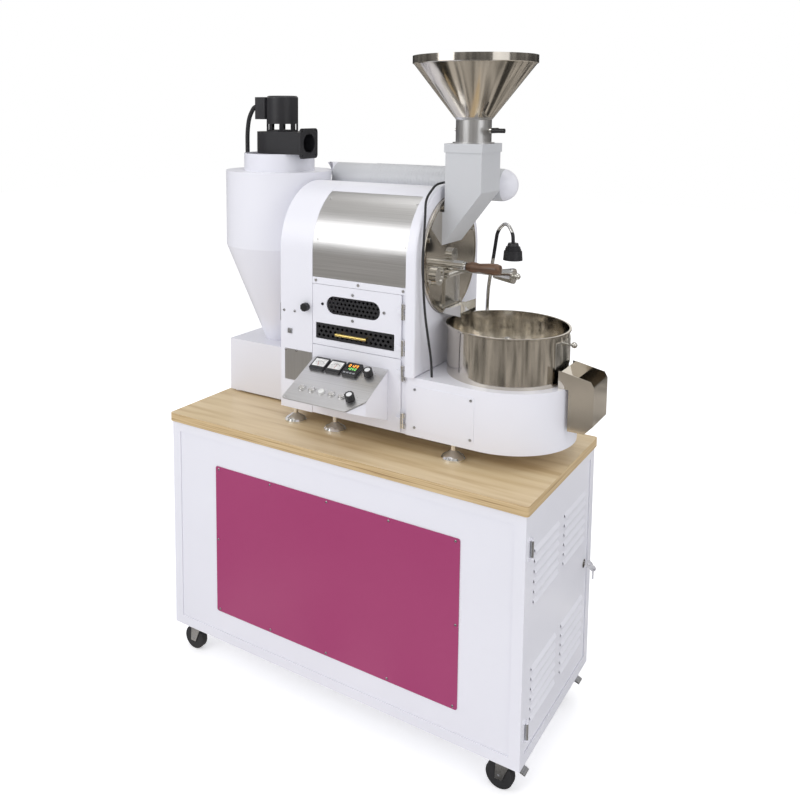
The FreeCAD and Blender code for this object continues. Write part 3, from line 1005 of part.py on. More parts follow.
def lamp():
    px, py = TRAY_X - 118, AXIS_Y + 130
    post = rod(11, 6, V(px, py, BASE_TOP + GAP), Z)
    route = arc_route([V(px, py, BASE_TOP + 5), V(px + 2, py, TRAY_TOP + 60), V(px + 18, py - 4, TRAY_TOP + 150),
                       V(px + 32, py - 10, TRAY_TOP + 235), V(px + 62, py - 20, TRAY_TOP + 262), V(px + 84, py - 26, TRAY_TOP + 232),
                       V(px + 86, py - 27, TRAY_TOP + 205)], 0.45)
    stem = route.makePipeShell([Part.Wire(Part.makeCircle(5, V(px, py, BASE_TOP + 5), V(2, 0, TRAY_H + 55)))], True, False)
    head_at = V(px + 86, py - 27, TRAY_TOP + 204.7)
    profile = [(0, 0), (14, 0), (16, -8), (16, -10), (20, -10), (20, -16), (22, -16), (22, -22), (25, -22), (27, -48), (24.5, -48),
               (22, -26), (0, -26)]
    head = turned(profile, head_at)
    bulb = rod(18, 4, head_at - Z * 31, Z)
    add("work_lamp", post.fuse(stem), head, bulb.fuse(rod(8, 6, head_at - Z * 32, Z)))
    knob = rod(12, 14, V(401, BODY_FRONT - 16, 1124), Y)
    for i in range(8):
        turn = math.pi * i / 4
        knob = knob.cut(rod(2, 16, V(401 + 13 * math.cos(turn), BODY_FRONT - 17, 1124 + 13 * math.sin(turn)), Y))
    knob = knob.fuse(rod(9 - RUN_CLEAR, 8, V(401, BODY_FRONT - 3, 1124), Y))
    add("air_knob", knob)


GROUPS = {
    "cabinet_panels": ["front_panel", "back_panel", "left_panel", "cabinet_floor", "cabinet_shelf"],
    "cabinet_frame": ["cabinet_frame", "door_hinge_pins", "caster_plates"],
    "door_lock": ["door_lock", "lock_key"],
    "barrel_cover": ["barrel_cover", "cover_screws"],
    "body_fittings": ["levelling_feet", "heat_jacket", "drum_bearings", "upper_door_hinges", "lower_door_hinges",
                      "cover_strip", "burners"],
    "window_mesh": ["window_mesh", "window_screws"],
    "spill_drawer": ["spill_drawer", "drawer_handle"],
    "lower_door": ["lower_door", "console_box"],
    "console_plate": ["console_plate", "button_bezels", "console_screws"],
    "panel_instruments": ["panel_meters", "timer"],
    "drum": ["drum", "drum_sprocket"],
    "gear_motors": ["drum_motor", "drive_chain", "stirrer_motor"],
    "cyclone": ["cyclone", "exhaust_duct"],
    "cooling_tray": ["cooling_tray", "outlet_chute"],
    "trier": ["trier_spoon", "trier_handle"],
    "face_fittings": ["face_bolts", "sight_glass_ring", "sight_glass", "trier_tube", "flap_hinge"],
    "discharge_flap": ["discharge_flap", "counterweight"],
}


def build():
    for make in (cabinet, side_door, casters, body, barrel, upper_door, lower_door, console, drum, heater, front, hopper,
                 base, cyclone, leads, lamp):
        make()
    for name, members in GROUPS.items():
        solids = []
        for member in members:
            solids += parts.pop(member).Solids
        parts[name] = Part.makeCompound(solids)
    limits = Part.makeCompound(list(parts.values())).optimalBoundingBox(False, False)
    shift = V(-limits.Center.x, -limits.Center.y, -limits.ZMin)
    os.makedirs("parts", exist_ok=True)
    for name, shape in parts.items():
        shape.translate(shift)
        shape.exportStep("parts/" + name + ".step")
    print(len(parts), "nodes, moved by", shift, "limits", limits)
    return shift


SHIFT = build()
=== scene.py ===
# %% [markdown]
# # A small drum coffee roaster on its cabinet
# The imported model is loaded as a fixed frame. This script gives it finishes, adds the small
# detail that only shows, and sets the floor, the light and the camera.

# %% Imports and the frame
import bpy
import bmesh
import math
from mathutils import Matrix, Vector


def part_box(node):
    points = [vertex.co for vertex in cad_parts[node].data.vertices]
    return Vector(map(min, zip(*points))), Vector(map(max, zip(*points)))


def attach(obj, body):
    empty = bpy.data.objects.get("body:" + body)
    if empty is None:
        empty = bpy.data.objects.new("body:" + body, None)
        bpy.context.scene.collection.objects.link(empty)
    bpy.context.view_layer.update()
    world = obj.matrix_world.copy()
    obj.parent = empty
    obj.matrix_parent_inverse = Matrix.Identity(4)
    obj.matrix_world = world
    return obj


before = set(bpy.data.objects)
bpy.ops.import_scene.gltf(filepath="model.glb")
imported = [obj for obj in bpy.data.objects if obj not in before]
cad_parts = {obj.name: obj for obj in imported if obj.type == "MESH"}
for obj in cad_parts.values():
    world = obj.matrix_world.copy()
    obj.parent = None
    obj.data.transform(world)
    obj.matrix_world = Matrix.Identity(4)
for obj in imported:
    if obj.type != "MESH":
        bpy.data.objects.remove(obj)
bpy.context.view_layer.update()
MM = 0.001
print("nodes in the frame:", len(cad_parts))

# The cabinet's front left corner is the zero of the lengths below, which run right, back and up.
corner = Vector(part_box("cabinet_frame")[0])
ZERO = Vector((corner.x, corner.y, 0.0))


def at(x, y, z):
    return ZERO + Vector((x, y, z)) * MM


# %% [markdown]
# ## Camera
# It stands to the right of the machine and well above the worktop. It could be aimed by eye,
# but it was solved from the cabinet's corners, because the proportions then carry over. The
# lens is shifted rather than tilted, which keeps uprights nearly upright.

# %% Camera
EYE = (1806.2, -1863.9, 1681.4)
YAW, PITCH, ROLL = 34.05, 6.28, 0.13
FOCAL_PX, FRAME_PX, SENSOR = 870.3, 800.0, 36.0
CENTRE_U, CENTRE_V = 322.7, 206.2


def make_camera():
    data = bpy.data.cameras.new("camera")
    data.sensor_width = SENSOR
    data.lens = FOCAL_PX / FRAME_PX * SENSOR
    data.shift_x = (FRAME_PX / 2 - CENTRE_U) / FRAME_PX
    data.shift_y = (CENTRE_V - FRAME_PX / 2) / FRAME_PX
    data.clip_end = 60
    cam = bpy.data.objects.new("camera", data)
    bpy.context.collection.objects.link(cam)
    yaw, pitch, roll = (math.radians(a) for a in (YAW, PITCH, ROLL))
    look = Vector((-math.sin(yaw) * math.cos(pitch), math.cos(yaw) * math.cos(pitch), -math.sin(pitch)))
    right = Vector((math.cos(yaw), math.sin(yaw), 0))
    up = right.cross(look)
    side = right * math.cos(roll) + up * math.sin(roll)
    top = up * math.cos(roll) - right * math.sin(roll)
    turn = Matrix((side, top, -look)).transposed()
    cam.matrix_world = Matrix.Translation(at(*EYE)) @ turn.to_4x4()
    bpy.context.scene.camera = cam
    print("lens", round(data.lens, 2), "mm, shift", round(data.shift_x, 4), round(data.shift_y, 4))


make_camera()
bpy.context.scene.view_settings.view_transform = "Standard"

# %% [markdown]
# ## World
# The machine stands against plain white. A white world alone could give that, but polished
# metal would then have nothing to mirror. So the camera sees white, polished metal sees a
# made-up studio with dark bands, and everything else gets an even fill.

# %% World
FILL = 0.50
# How much of the plain white every other ray gets as well.
WHITE_SHARE = 0.5
STUDIO_POWER, WALL_SHARE = 1.3, 0.8
# Brightness of the reflected studio, from straight down at 0 to straight up at 1.
STUDIO_HEIGHTS = ((0.0, 0.20), (0.38, 0.30), (0.47, 0.04), (0.53, 0.08),
                  (0.57, 0.75), (0.70, 0.95), (0.80, 0.30), (1.0, 0.75))
# Brightness round the studio's walls, over the noise that they follow.
STUDIO_WALLS = ((0.36, 0.05), (0.45, 0.35), (0.50, 1.0), (0.56, 0.25), (0.62, 1.3))


def place_stops(ramp, stops, tint):
    marks = ramp.color_ramp.elements
    while len(marks) > 1:
        marks.remove(marks[0])
    for i, (spot, level) in enumerate(stops):
        mark = marks[0] if i == 0 else marks.new(spot)
        mark.position = spot
        mark.color = (level * tint[0], level * tint[1], level * tint[2], 1)


def make_world():
    world = bpy.data.worlds.new("studio")
    bpy.context.scene.world = world
    world.use_nodes = True
    nodes, links = world.node_tree.nodes, world.node_tree.links
    nodes.clear()
    out = nodes.new("ShaderNodeOutputWorld")
    path = nodes.new("ShaderNodeLightPath")
    fill = nodes.new("ShaderNodeBackground")
    fill.inputs["Color"].default_value = (0.93, 0.94, 1.0, 1)
    fill.inputs["Strength"].default_value = FILL
    shown = nodes.new("ShaderNodeBackground")
    shown.inputs["Color"].default_value = (1, 1, 1, 1)
    shown.inputs["Strength"].default_value = 1.0
    seen = nodes.new("ShaderNodeMath")
    seen.operation = "MAXIMUM"
    also = nodes.new("ShaderNodeMath")
    also.operation = "MAXIMUM"
    links.new(path.outputs["Is Camera Ray"], seen.inputs[0])
    links.new(path.outputs["Is Transmission Ray"], seen.inputs[1])
    links.new(seen.outputs[0], also.inputs[0])
    also.inputs[1].default_value = WHITE_SHARE
    mix = nodes.new("ShaderNodeMixShader")
    links.new(also.outputs[0], mix.inputs[0])
    links.new(fill.outputs[0], mix.inputs[1])
    links.new(shown.outputs[0], mix.inputs[2])
    # Polished metal sees a studio: pale above, with dark bands near the horizon.
    coords = nodes.new("ShaderNodeTexCoord")
    split = nodes.new("ShaderNodeSeparateXYZ")
    links.new(coords.outputs["Generated"], split.inputs[0])
    ramp = nodes.new("ShaderNodeValToRGB")
    place_stops(ramp, STUDIO_HEIGHTS, (1.0, 0.97, 0.92))
    height = nodes.new("ShaderNodeMapRange")
    height.inputs["From Min"].default_value = -1
    links.new(split.outputs["Z"], height.inputs["Value"])
    links.new(height.outputs[0], ramp.inputs[0])
    # Round metal needs upright streaks as well, so the studio's walls vary with the direction.
    turn = nodes.new("ShaderNodeMath")
    turn.operation = "ARCTAN2"
    links.new(split.outputs["Y"], turn.inputs[0])
    links.new(split.outputs["X"], turn.inputs[1])
    streaks = nodes.new("ShaderNodeTexNoise")
    streaks.noise_dimensions = "1D"
    streaks.inputs["Scale"].default_value = 2.3
    streaks.inputs["Detail"].default_value = 4
    links.new(turn.outputs[0], streaks.inputs["W"])
    walls = nodes.new("ShaderNodeValToRGB")
    place_stops(walls, STUDIO_WALLS, (1.0, 1.0, 1.0))
    links.new(streaks.outputs["Fac"], walls.inputs[0])
    both = nodes.new("ShaderNodeMix")
    both.data_type = "RGBA"
    both.blend_type = "MULTIPLY"
    both.inputs["Factor"].default_value = WALL_SHARE
    links.new(ramp.outputs[0], both.inputs[6])
    links.new(walls.outputs[0], both.inputs[7])
    studio = nodes.new("ShaderNodeBackground")
    studio.inputs["Strength"].default_value = STUDIO_POWER
    links.new(both.outputs[2], studio.inputs["Color"])
    gloss = nodes.new("ShaderNodeMixShader")
    links.new(path.outputs["Is Glossy Ray"], gloss.inputs[0])
    links.new(mix.outputs[0], gloss.inputs[1])
    links.new(studio.outputs[0], gloss.inputs[2])
    links.new(gloss.outputs[0], out.inputs[0])


make_world()
print("world:", bpy.context.scene.world.name)

# %% [markdown]
# ## Lamps
# Highlights on the painted sheet are broad and soft. A sun would cut hard edges into them, so
# three wide area lamps are used: one at the front left, one at the right and one above.

# %% Lamps


def area_light(name, place, aim, width, height, power):
    data = bpy.data.lights.new(name, "AREA")
    data.shape = "RECTANGLE"
    data.size, data.size_y = width, height
    data.energy = power
    lamp = bpy.data.objects.new(name, data)
    lamp.location = place
    lamp.rotation_euler = (Vector(aim) - Vector(place)).to_track_quat("-Z", "Y").to_euler()
    bpy.context.collection.objects.link(lamp)


def make_lights():
    area_light("key", (-1.8, -3.6, 3.0), (0, 0, 1.0), 2.6, 2.6, 46)
    area_light("side", (3.8, -1.2, 2.4), (0, 0, 1.1), 2.2, 2.6, 19)
    area_light("top", (0.2, 0.2, 4.4), (0, 0, 1.0), 3.2, 2.4, 27)


make_lights()

# %% [markdown]
# ## Floor
# The ground is white and keeps only a faint shadow. A plain lit floor would come out grey, so
# it also glows to the camera. Polished metal sees dim patches there, which streak its lower half.

# %% Floor
FLOOR_REACH = 14.0
FLOOR_GLOW = 0.42
# Brightness of the floor's patches as polished metal sees them.
FLOOR_TONES = ((0.38, 0.02), (0.46, 0.14), (0.52, 0.75), (0.57, 0.10), (0.66, 0.55))


def make_floor():
    mesh = bpy.data.meshes.new("floor")
    bm = bmesh.new()
    bmesh.ops.create_grid(bm, x_segments=1, y_segments=1, size=FLOOR_REACH)
    bm.to_mesh(mesh)
    bm.free()
    floor = bpy.data.objects.new("floor", mesh)
    bpy.context.collection.objects.link(floor)
    mat = bpy.data.materials.new("floor")
    mat.use_nodes = True
    nodes, links = mat.node_tree.nodes, mat.node_tree.links
    nodes.clear()
    out = nodes.new("ShaderNodeOutputMaterial")
    matt = nodes.new("ShaderNodeBsdfDiffuse")
    matt.inputs["Color"].default_value = (0.93, 0.93, 0.94, 1)
    glow = nodes.new("ShaderNodeEmission")
    glow.inputs["Color"].default_value = (1, 1, 1, 1)
    glow.inputs["Strength"].default_value = FLOOR_GLOW
    path = nodes.new("ShaderNodeLightPath")
    total = nodes.new("ShaderNodeAddShader")
    mix = nodes.new("ShaderNodeMixShader")
    links.new(matt.outputs[0], total.inputs[0])
    links.new(glow.outputs[0], total.inputs[1])
    links.new(path.outputs["Is Camera Ray"], mix.inputs[0])
    links.new(matt.outputs[0], mix.inputs[1])
    links.new(total.outputs[0], mix.inputs[2])
    # Polished metal sees dim patches instead of the white floor.
    dim = nodes.new("ShaderNodeEmission")
    coords = nodes.new("ShaderNodeTexCoord")
    patches = nodes.new("ShaderNodeTexNoise")
    patches.inputs["Scale"].default_value = 1.1
    patches.inputs["Detail"].default_value = 4
    patches.inputs["Distortion"].default_value = 0.8
    links.new(coords.outputs["Object"], patches.inputs["Vector"])
    tones = nodes.new("ShaderNodeValToRGB")
    place_stops(tones, FLOOR_TONES, (1.0, 0.93, 0.84))
    links.new(patches.outputs["Fac"], tones.inputs[0])
    links.new(tones.outputs[0], dim.inputs["Color"])
    gloss = nodes.new("ShaderNodeMixShader")
    links.new(path.outputs["Is Glossy Ray"], gloss.inputs[0])
    links.new(mix.outputs[0], gloss.inputs[1])
    links.new(dim.outputs[0], gloss.inputs[2])
    links.new(gloss.outputs[0], out.inputs[0])
    mesh.materials.append(mat)


make_floor()
print("floor reaches", FLOOR_REACH, "m each way")

# %% [markdown]
# ## Finishes
# Paint, plastic, metal and wood all vary a little over their surface. Pictures wrapped round
# each piece could show that, but noise in object coordinates needs no unwrapping. Two shared
# groups do most of the work: a speckled bump, and a fine grain drawn out along one axis.

# %% Shared shader groups


def group(name, inputs, outputs):
    tree = bpy.data.node_groups.new(name, "ShaderNodeTree")
    for label, kind in inputs:
        tree.interface.new_socket(label, in_out="INPUT", socket_type=kind)
    for label, kind in outputs:
        tree.interface.new_socket(label, in_out="OUTPUT", socket_type=kind)
    first = tree.nodes.new("NodeGroupInput")
    last = tree.nodes.new("NodeGroupOutput")
    return tree, first, last


def speckle_group():
    tree, first, last = group("speckle", [("Scale", "NodeSocketFloat"), ("Depth", "NodeSocketFloat")],
                              [("Normal", "NodeSocketVector"), ("Value", "NodeSocketFloat")])
    coords = tree.nodes.new("ShaderNodeTexCoord")
    noise = tree.nodes.new("ShaderNodeTexNoise")
    noise.inputs["Detail"].default_value = 3
    bump = tree.nodes.new("ShaderNodeBump")
    bump.inputs["Distance"].default_value = 0.001
    link = tree.links.new
    link(coords.outputs["Object"], noise.inputs["Vector"])
    link(first.outputs["Scale"], noise.inputs["Scale"])
    link(first.outputs["Depth"], bump.inputs["Strength"])
    link(noise.outputs["Fac"], bump.inputs["Height"])
    link(bump.outputs[0], last.inputs["Normal"])
    link(noise.outputs["Fac"], last.inputs["Value"])
    return tree


def grain_group():
    tree, first, last = group("grain", [("Stretch", "NodeSocketVector"), ("Depth", "NodeSocketFloat")],
                              [("Normal", "NodeSocketVector"), ("Value", "NodeSocketFloat")])
    coords = tree.nodes.new("ShaderNodeTexCoord")
    mapping = tree.nodes.new("ShaderNodeMapping")
    noise = tree.nodes.new("ShaderNodeTexNoise")
    noise.inputs["Scale"].default_value = 1
    noise.inputs["Detail"].default_value = 5
    bump = tree.nodes.new("ShaderNodeBump")
    bump.inputs["Distance"].default_value = 0.0006
    link = tree.links.new
    link(coords.outputs["Object"], mapping.inputs["Vector"])
    link(first.outputs["Stretch"], mapping.inputs["Scale"])
    link(mapping.outputs[0], noise.inputs["Vector"])
    link(first.outputs["Depth"], bump.inputs["Strength"])
    link(noise.outputs["Fac"], bump.inputs["Height"])
    link(bump.outputs[0], last.inputs["Normal"])
    link(noise.outputs["Fac"], last.inputs["Value"])
    return tree


SPECKLE = speckle_group()
GRAIN = grain_group()
print("shared groups:", SPECKLE.name, GRAIN.name)

# %% [markdown]
# ## Looks
# The machine has powder-coated sheet, brushed and polished steel, moulded plastic and pine.
# Each could be its own material written out in full. Functions were chosen instead, because
# the same pattern with other colours then serves many pieces.

# %% Looks
# A look is a function that adds its pattern to a material and returns five channels: colour,
# metal, roughness, surface normal and clear coat, each a socket or a plain number.


class Pattern:
    """Short ways to add and wire the nodes of one pattern."""

    def __init__(self, tree):
        self.tree = tree

    def use(self, group_tree, **values):
        node = self.tree.nodes.new("ShaderNodeGroup")
        node.node_tree = group_tree
        for label, value in values.items():
            node.inputs[label].default_value = value
        return node

    def colours(self, source, stops):
        node = self.tree.nodes.new("ShaderNodeValToRGB")
        marks = node.color_ramp.elements
        for i, (spot, colour) in enumerate(stops):
            mark = marks[i] if i < 2 else marks.new(spot)
            mark.position = spot
            mark.color = (*colour, 1)
        self.tree.links.new(source, node.inputs[0])
        return node.outputs[0]

    def between(self, source, low, high):
        node = self.tree.nodes.new("ShaderNodeMapRange")
        node.inputs["To Min"].default_value = low
        node.inputs["To Max"].default_value = high
        self.tree.links.new(source, node.inputs["Value"])
        return node.outputs[0]


def shade(colour, factor):
    return tuple(min(1.0, c * factor) for c in colour)


def powder(colour, rough=0.36):
    def build(tree):
        p = Pattern(tree)
        peel = p.use(SPECKLE, Scale=420.0, Depth=0.12)
        drift = p.use(SPECKLE, Scale=2.4, Depth=0.0)
        tone = p.colours(drift.outputs["Value"], ((0.3, shade(colour, 0.965)), (0.7, colour)))
        dull = p.between(drift.outputs["Value"], rough - 0.05, rough + 0.08)
        return tone, 0.0, dull, peel.outputs["Normal"], 0.25
    return build


def brushed(colour, stretch, rough=0.3):
    def build(tree):
        p = Pattern(tree)
        lines = p.use(GRAIN, Stretch=stretch, Depth=0.2)
        tone = p.colours(lines.outputs["Value"], ((0.3, shade(colour, 0.9)), (0.7, shade(colour, 1.05))))
        dull = p.between(lines.outputs["Value"], rough - 0.06, rough + 0.12)
        return tone, 1.0, dull, lines.outputs["Normal"], 0.0
    return build


def mirror(colour, rough=0.07, smear=9.0):
    def build(tree):
        p = Pattern(tree)
        haze = p.use(SPECKLE, Scale=smear, Depth=0.05)
        tone = p.colours(haze.outputs["Value"], ((0.35, shade(colour, 0.9)), (0.65, colour)))
        return tone, 1.0, p.between(haze.outputs["Value"], rough, rough + 0.12), haze.outputs["Normal"], 0.0
    return build


def moulded(colour, rough=0.45, scale=900.0, depth=0.2, metal=0.0, coat=0.0):
    def build(tree):
        p = Pattern(tree)
        grain = p.use(SPECKLE, Scale=scale, Depth=depth)
        tone = p.colours(grain.outputs["Value"], ((0.3, shade(colour, 0.8)), (0.7, shade(colour, 1.2))))
        dull = p.between(grain.outputs["Value"], rough - 0.06, rough + 0.1)
        return tone, metal, dull, grain.outputs["Normal"], coat
    return build


def wood(dark, mid, pale, stretch):
    def build(tree):
        p = Pattern(tree)
        lines = p.use(GRAIN, Stretch=stretch, Depth=0.12)
        tone = p.colours(lines.outputs["Value"], ((0.30, dark), (0.46, mid), (0.66, pale), (0.85, mid)))
        return tone, 0.0, p.between(lines.outputs["Value"], 0.34, 0.5), lines.outputs["Normal"], 0.3
    return build


def blend_channel(tree, mask, first, second, kind):
    """One channel that follows first where the mask is 0 and second where it is 1."""
    if not hasattr(first, "links") and not hasattr(second, "links") and first == second:
        return first
    mix = tree.nodes.new("ShaderNodeMix")
    mix.data_type = kind
    ends = {"RGBA": (6, 7), "VECTOR": (4, 5), "FLOAT": (2, 3)}[kind]
    tree.links.new(mask, mix.inputs["Factor"])
    for place, value in zip(ends, (first, second)):
        if hasattr(value, "links"):
            tree.links.new(value, mix.inputs[place])
        else:
            mix.inputs[place].default_value = value
    return mix.outputs[{"RGBA": 2, "VECTOR": 1, "FLOAT": 0}[kind]]


def blend(tree, mask, first, second):
    kinds = ("RGBA", "FLOAT", "FLOAT", "VECTOR", "FLOAT")
    return tuple(blend_channel(tree, mask, a, b, kind) for a, b, kind in zip(first, second, kinds))


def by_facing(flat, edge):
    """The first look where a face points up or down, the second on upright faces."""
    def build(tree):
        facing = tree.nodes.new("ShaderNodeNewGeometry")
        split = tree.nodes.new("ShaderNodeSeparateXYZ")
        tree.links.new(facing.outputs["Normal"], split.inputs[0])
        upward = tree.nodes.new("ShaderNodeMath")
        upward.operation = "ABSOLUTE"
        tree.links.new(split.outputs["Z"], upward.inputs[0])
        return blend(tree, upward.outputs[0], edge(tree), flat(tree))
    return build


# %% [markdown]
# ## Patches
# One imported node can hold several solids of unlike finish, such as a steel spoon with a wooden
# handle. Splitting the mesh would change the model, so a box in object coordinates picks the
# solid out and blends the second look in there.

# %% Patches


def inside_group():
    tree, first, last = group("inside_box", [("Low", "NodeSocketVector"), ("High", "NodeSocketVector")],
                              [("Factor", "NodeSocketFloat")])
    coords = tree.nodes.new("ShaderNodeTexCoord")
    above = tree.nodes.new("ShaderNodeVectorMath")
    above.operation = "SUBTRACT"
    below = tree.nodes.new("ShaderNodeVectorMath")
    below.operation = "SUBTRACT"
    least = tree.nodes.new("ShaderNodeVectorMath")
    least.operation = "MINIMUM"
    split = tree.nodes.new("ShaderNodeSeparateXYZ")
    link = tree.links.new
    link(coords.outputs["Object"], above.inputs[0])
    link(first.outputs["Low"], above.inputs[1])
    link(first.outputs["High"], below.inputs[0])
    link(coords.outputs["Object"], below.inputs[1])
    link(above.outputs[0], least.inputs[0])
    link(below.outputs[0], least.inputs[1])
    link(least.outputs[0], split.inputs[0])
    pair = tree.nodes.new("ShaderNodeMath")
    pair.operation = "MINIMUM"
    every = tree.nodes.new("ShaderNodeMath")
    every.operation = "MINIMUM"
    step = tree.nodes.new("ShaderNodeMath")
    step.operation = "GREATER_THAN"
    step.inputs[1].default_value = 0
    link(split.outputs[0], pair.inputs[0])
    link(split.outputs[1], pair.inputs[1])
    link(pair.outputs[0], every.inputs[0])
    link(split.outputs[2], every.inputs[1])
    link(every.outputs[0], step.inputs[0])
    link(step.outputs[0], last.inputs["Factor"])
    return tree


INSIDE = inside_group()
print("mask group:", INSIDE.name)

# %% [markdown]
# ## Materials
# A look says how a surface is; a material says which piece has it. They could be one thing, but
# kept apart one look can be patched on to another. Each material is a single shader, and the
# patches blend its channels rather than several shaders.

# %% Materials


def material(name, look, patches=(), glow=0.0):
    mat = bpy.data.materials.new(name)
    mat.use_nodes = True
    tree = mat.node_tree
    shader = tree.nodes["Principled BSDF"]
    channels = look(tree)
    for low, high, other in patches:
        box = tree.nodes.new("ShaderNodeGroup")
        box.node_tree = INSIDE
        box.inputs["Low"].default_value = at(*low)
        box.inputs["High"].default_value = at(*high)
        channels = blend(tree, box.outputs[0], channels, other(tree))
    for socket, value in zip(("Base Color", "Metallic", "Roughness", "Normal", "Coat Weight"), channels):
        if hasattr(value, "links"):
            tree.links.new(value, shader.inputs[socket])
        else:
            shader.inputs[socket].default_value = value
    shader.inputs["Coat Roughness"].default_value = 0.25
    if glow:
        tree.links.new(channels[0], shader.inputs["Emission Color"])
        shader.inputs["Emission Strength"].default_value = glow
    return mat


WHITE = powder((0.86, 0.86, 0.92))
PINK = powder((0.40, 0.045, 0.165), 0.34)
PINE = by_facing(wood((0.56, 0.40, 0.21), (0.68, 0.52, 0.30), (0.76, 0.61, 0.39), (3.0, 34.0, 34.0)),
                 wood((0.34, 0.21, 0.09), (0.60, 0.43, 0.22), (0.70, 0.53, 0.30), (4.0, 4.0, 260.0)))
STEEL_X = brushed((0.74, 0.74, 0.75), (4.0, 500.0, 500.0))
STEEL_Z = brushed((0.72, 0.72, 0.73), (500.0, 500.0, 4.0))
BRIGHT = mirror((0.80, 0.79, 0.76), 0.09)
CHROME = mirror((0.86, 0.86, 0.86), 0.05)
SMOKED = mirror((0.66, 0.62, 0.56), 0.06)
ZINC = moulded((0.52, 0.53, 0.55), 0.38, 300.0, 0.2, 1.0)
IRON = moulded((0.085, 0.082, 0.078), 0.5, 260.0, 0.5, 0.6)
BLACK = moulded((0.018, 0.018, 0.020), 0.38)
BLACK_PAINT = moulded((0.022, 0.022, 0.026), 0.34, 500.0, 0.3)
RUBBER = moulded((0.030, 0.030, 0.032), 0.72)
BRASS = mirror((0.80, 0.62, 0.22), 0.18)
HANDLE_WOOD = wood((0.055, 0.028, 0.016), (0.12, 0.062, 0.035), (0.19, 0.10, 0.055), (6.0, 130.0, 130.0))
GREY_PAINT = powder((0.62, 0.63, 0.65), 0.4)
PALE_PLASTIC = moulded((0.80, 0.80, 0.78), 0.35)

# %% [markdown]
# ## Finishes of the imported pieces
# Each node is given one look, with patches for the small solids in it that differ, such as
# the wooden handle of the sampling spoon or the brass bar of the drawer. The nodes could be
# dressed one after another in code, but a table keeps all the choices in sight.

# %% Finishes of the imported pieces
LOOKS = {
    "cabinet_frame": (WHITE, ()),
    "cabinet_panels": (WHITE, ()),
    "tinted_plate": (PINK, ()),
    "worktop": (PINE, ()),
    "side_door": (WHITE, (((1117.4, 20, 100), (1130, 36, 760), ZINC),)),
    "door_lock": (CHROME, ()),
    "drive_housing": (WHITE, ()),
    "chassis": (WHITE, ()),
    "body_fittings": (CHROME, (((300, 120, 1194.4), (726, 137.2, 1214.4), WHITE),
                               ((430, 140, 1085), (700, 510, 1500), IRON))),
    "barrel_cover": (STEEL_X, ()),
    "barrel_shell": (WHITE, ()),
    "upper_door": (WHITE, (((711.5, 120, 1019), (730, 136, 1196), CHROME),)),
    "window_mesh": (BLACK_PAINT, (((460, 130, 1100), (660, 135.2, 1180), ZINC),)),
    "spill_drawer": (BLACK_PAINT, (((500, 100, 1045), (625, 135.4, 1076), BRASS),)),
    "lower_door": (WHITE, (((711.5, 120, 815), (730, 136, 1019), CHROME),)),
    "console_plate": (STEEL_X, ()),
    "panel_instruments": (BLACK, ()),
    "fan_knob": (BLACK, ()),
    "heat_knob": (BLACK, ()),
    "air_knob": (BLACK, ()),
    "drum": (IRON, ()),
    "motor_sprocket": (ZINC, ()),
    "gear_motors": (GREY_PAINT, ()),
    "front_plate": (WHITE, ()),
    "face_disc": (SMOKED, ()),
    "face_fittings": (BRIGHT, ()),
    "trier": (BRIGHT, (((822, 260, 1225), (960, 330, 1290), HANDLE_WOOD),)),
    "discharge_flap": (BRIGHT, ()),
    "discharge_chute": (BRIGHT, ()),
    "hopper": (SMOKED, (((760, 260, 1590), (880, 390, 1664), STEEL_Z),)),
    "hopper_valve": (BRIGHT, (((890, 270, 1590), (960, 380, 1680), BLACK),)),
    "feed_box": (GREY_PAINT, ()),
    "base_housing": (WHITE, ()),
    "access_panel": (WHITE, (((740, 120, 826), (930, 133.4, 960), ZINC),)),
    "cooling_tray": (SMOKED, ()),
    "tray_sieve": (BRIGHT, ()),
    "stirrer": (BRIGHT, ()),
    "tray_gate": (BRIGHT, ()),
    "cyclone": (WHITE, (((285, 420, 1400), (850, 535, 1540), GREY_PAINT),)),
    "chaff_box": (WHITE, ()),
    "blower_housing": (BLACK_PAINT, ()),
    "blower_impeller": (ZINC, ()),
    "blower_motor": (BLACK_PAINT, ()),
    "leads": (RUBBER, ()),
    "work_lamp": (CHROME, (((820, 380, 1262), (960, 475, 1345), BLACK_PAINT),)),
}
BUTTON_COUNT, PALE_BUTTON = 5, 3
for count in range(1, BUTTON_COUNT + 1):
    LOOKS["button_%d" % count] = (PALE_PLASTIC if count == PALE_BUTTON else CHROME, ())
for corner_name in ("front_left", "front_right", "rear_left", "rear_right"):
    LOOKS["caster_fork_" + corner_name] = (ZINC if corner_name.startswith("front") else BLACK_PAINT, ())
    LOOKS["caster_wheel_" + corner_name] = (RUBBER, ())
for corner_name in ("front_right", "rear_right"):
    LOOKS["brake_pedal_" + corner_name] = (ZINC, ())


def dress_nodes():
    made = {}
    for node, (look, patches) in LOOKS.items():
        key = (id(look), patches)
        if key not in made:
            made[key] = material(node, look, patches)
        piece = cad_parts[node]
        for place in piece.material_slots:
            place.material = made[key]
    print("nodes dressed:", len(LOOKS), "with", len(made), "materials")


dress_nodes()

# %% [markdown]
# ## Small shapes
# The detail below is all plates, discs, rods and turned forms. It could be scaled and placed
# as objects, but shapes put straight into a mesh leave every piece at the origin and unscaled.
# A piece then rides on the body that carries it.

# %% Small shapes
# Edges sharper than this, in radians, stay crisp on a smooth piece.
CRISP = 0.6
MADE = []


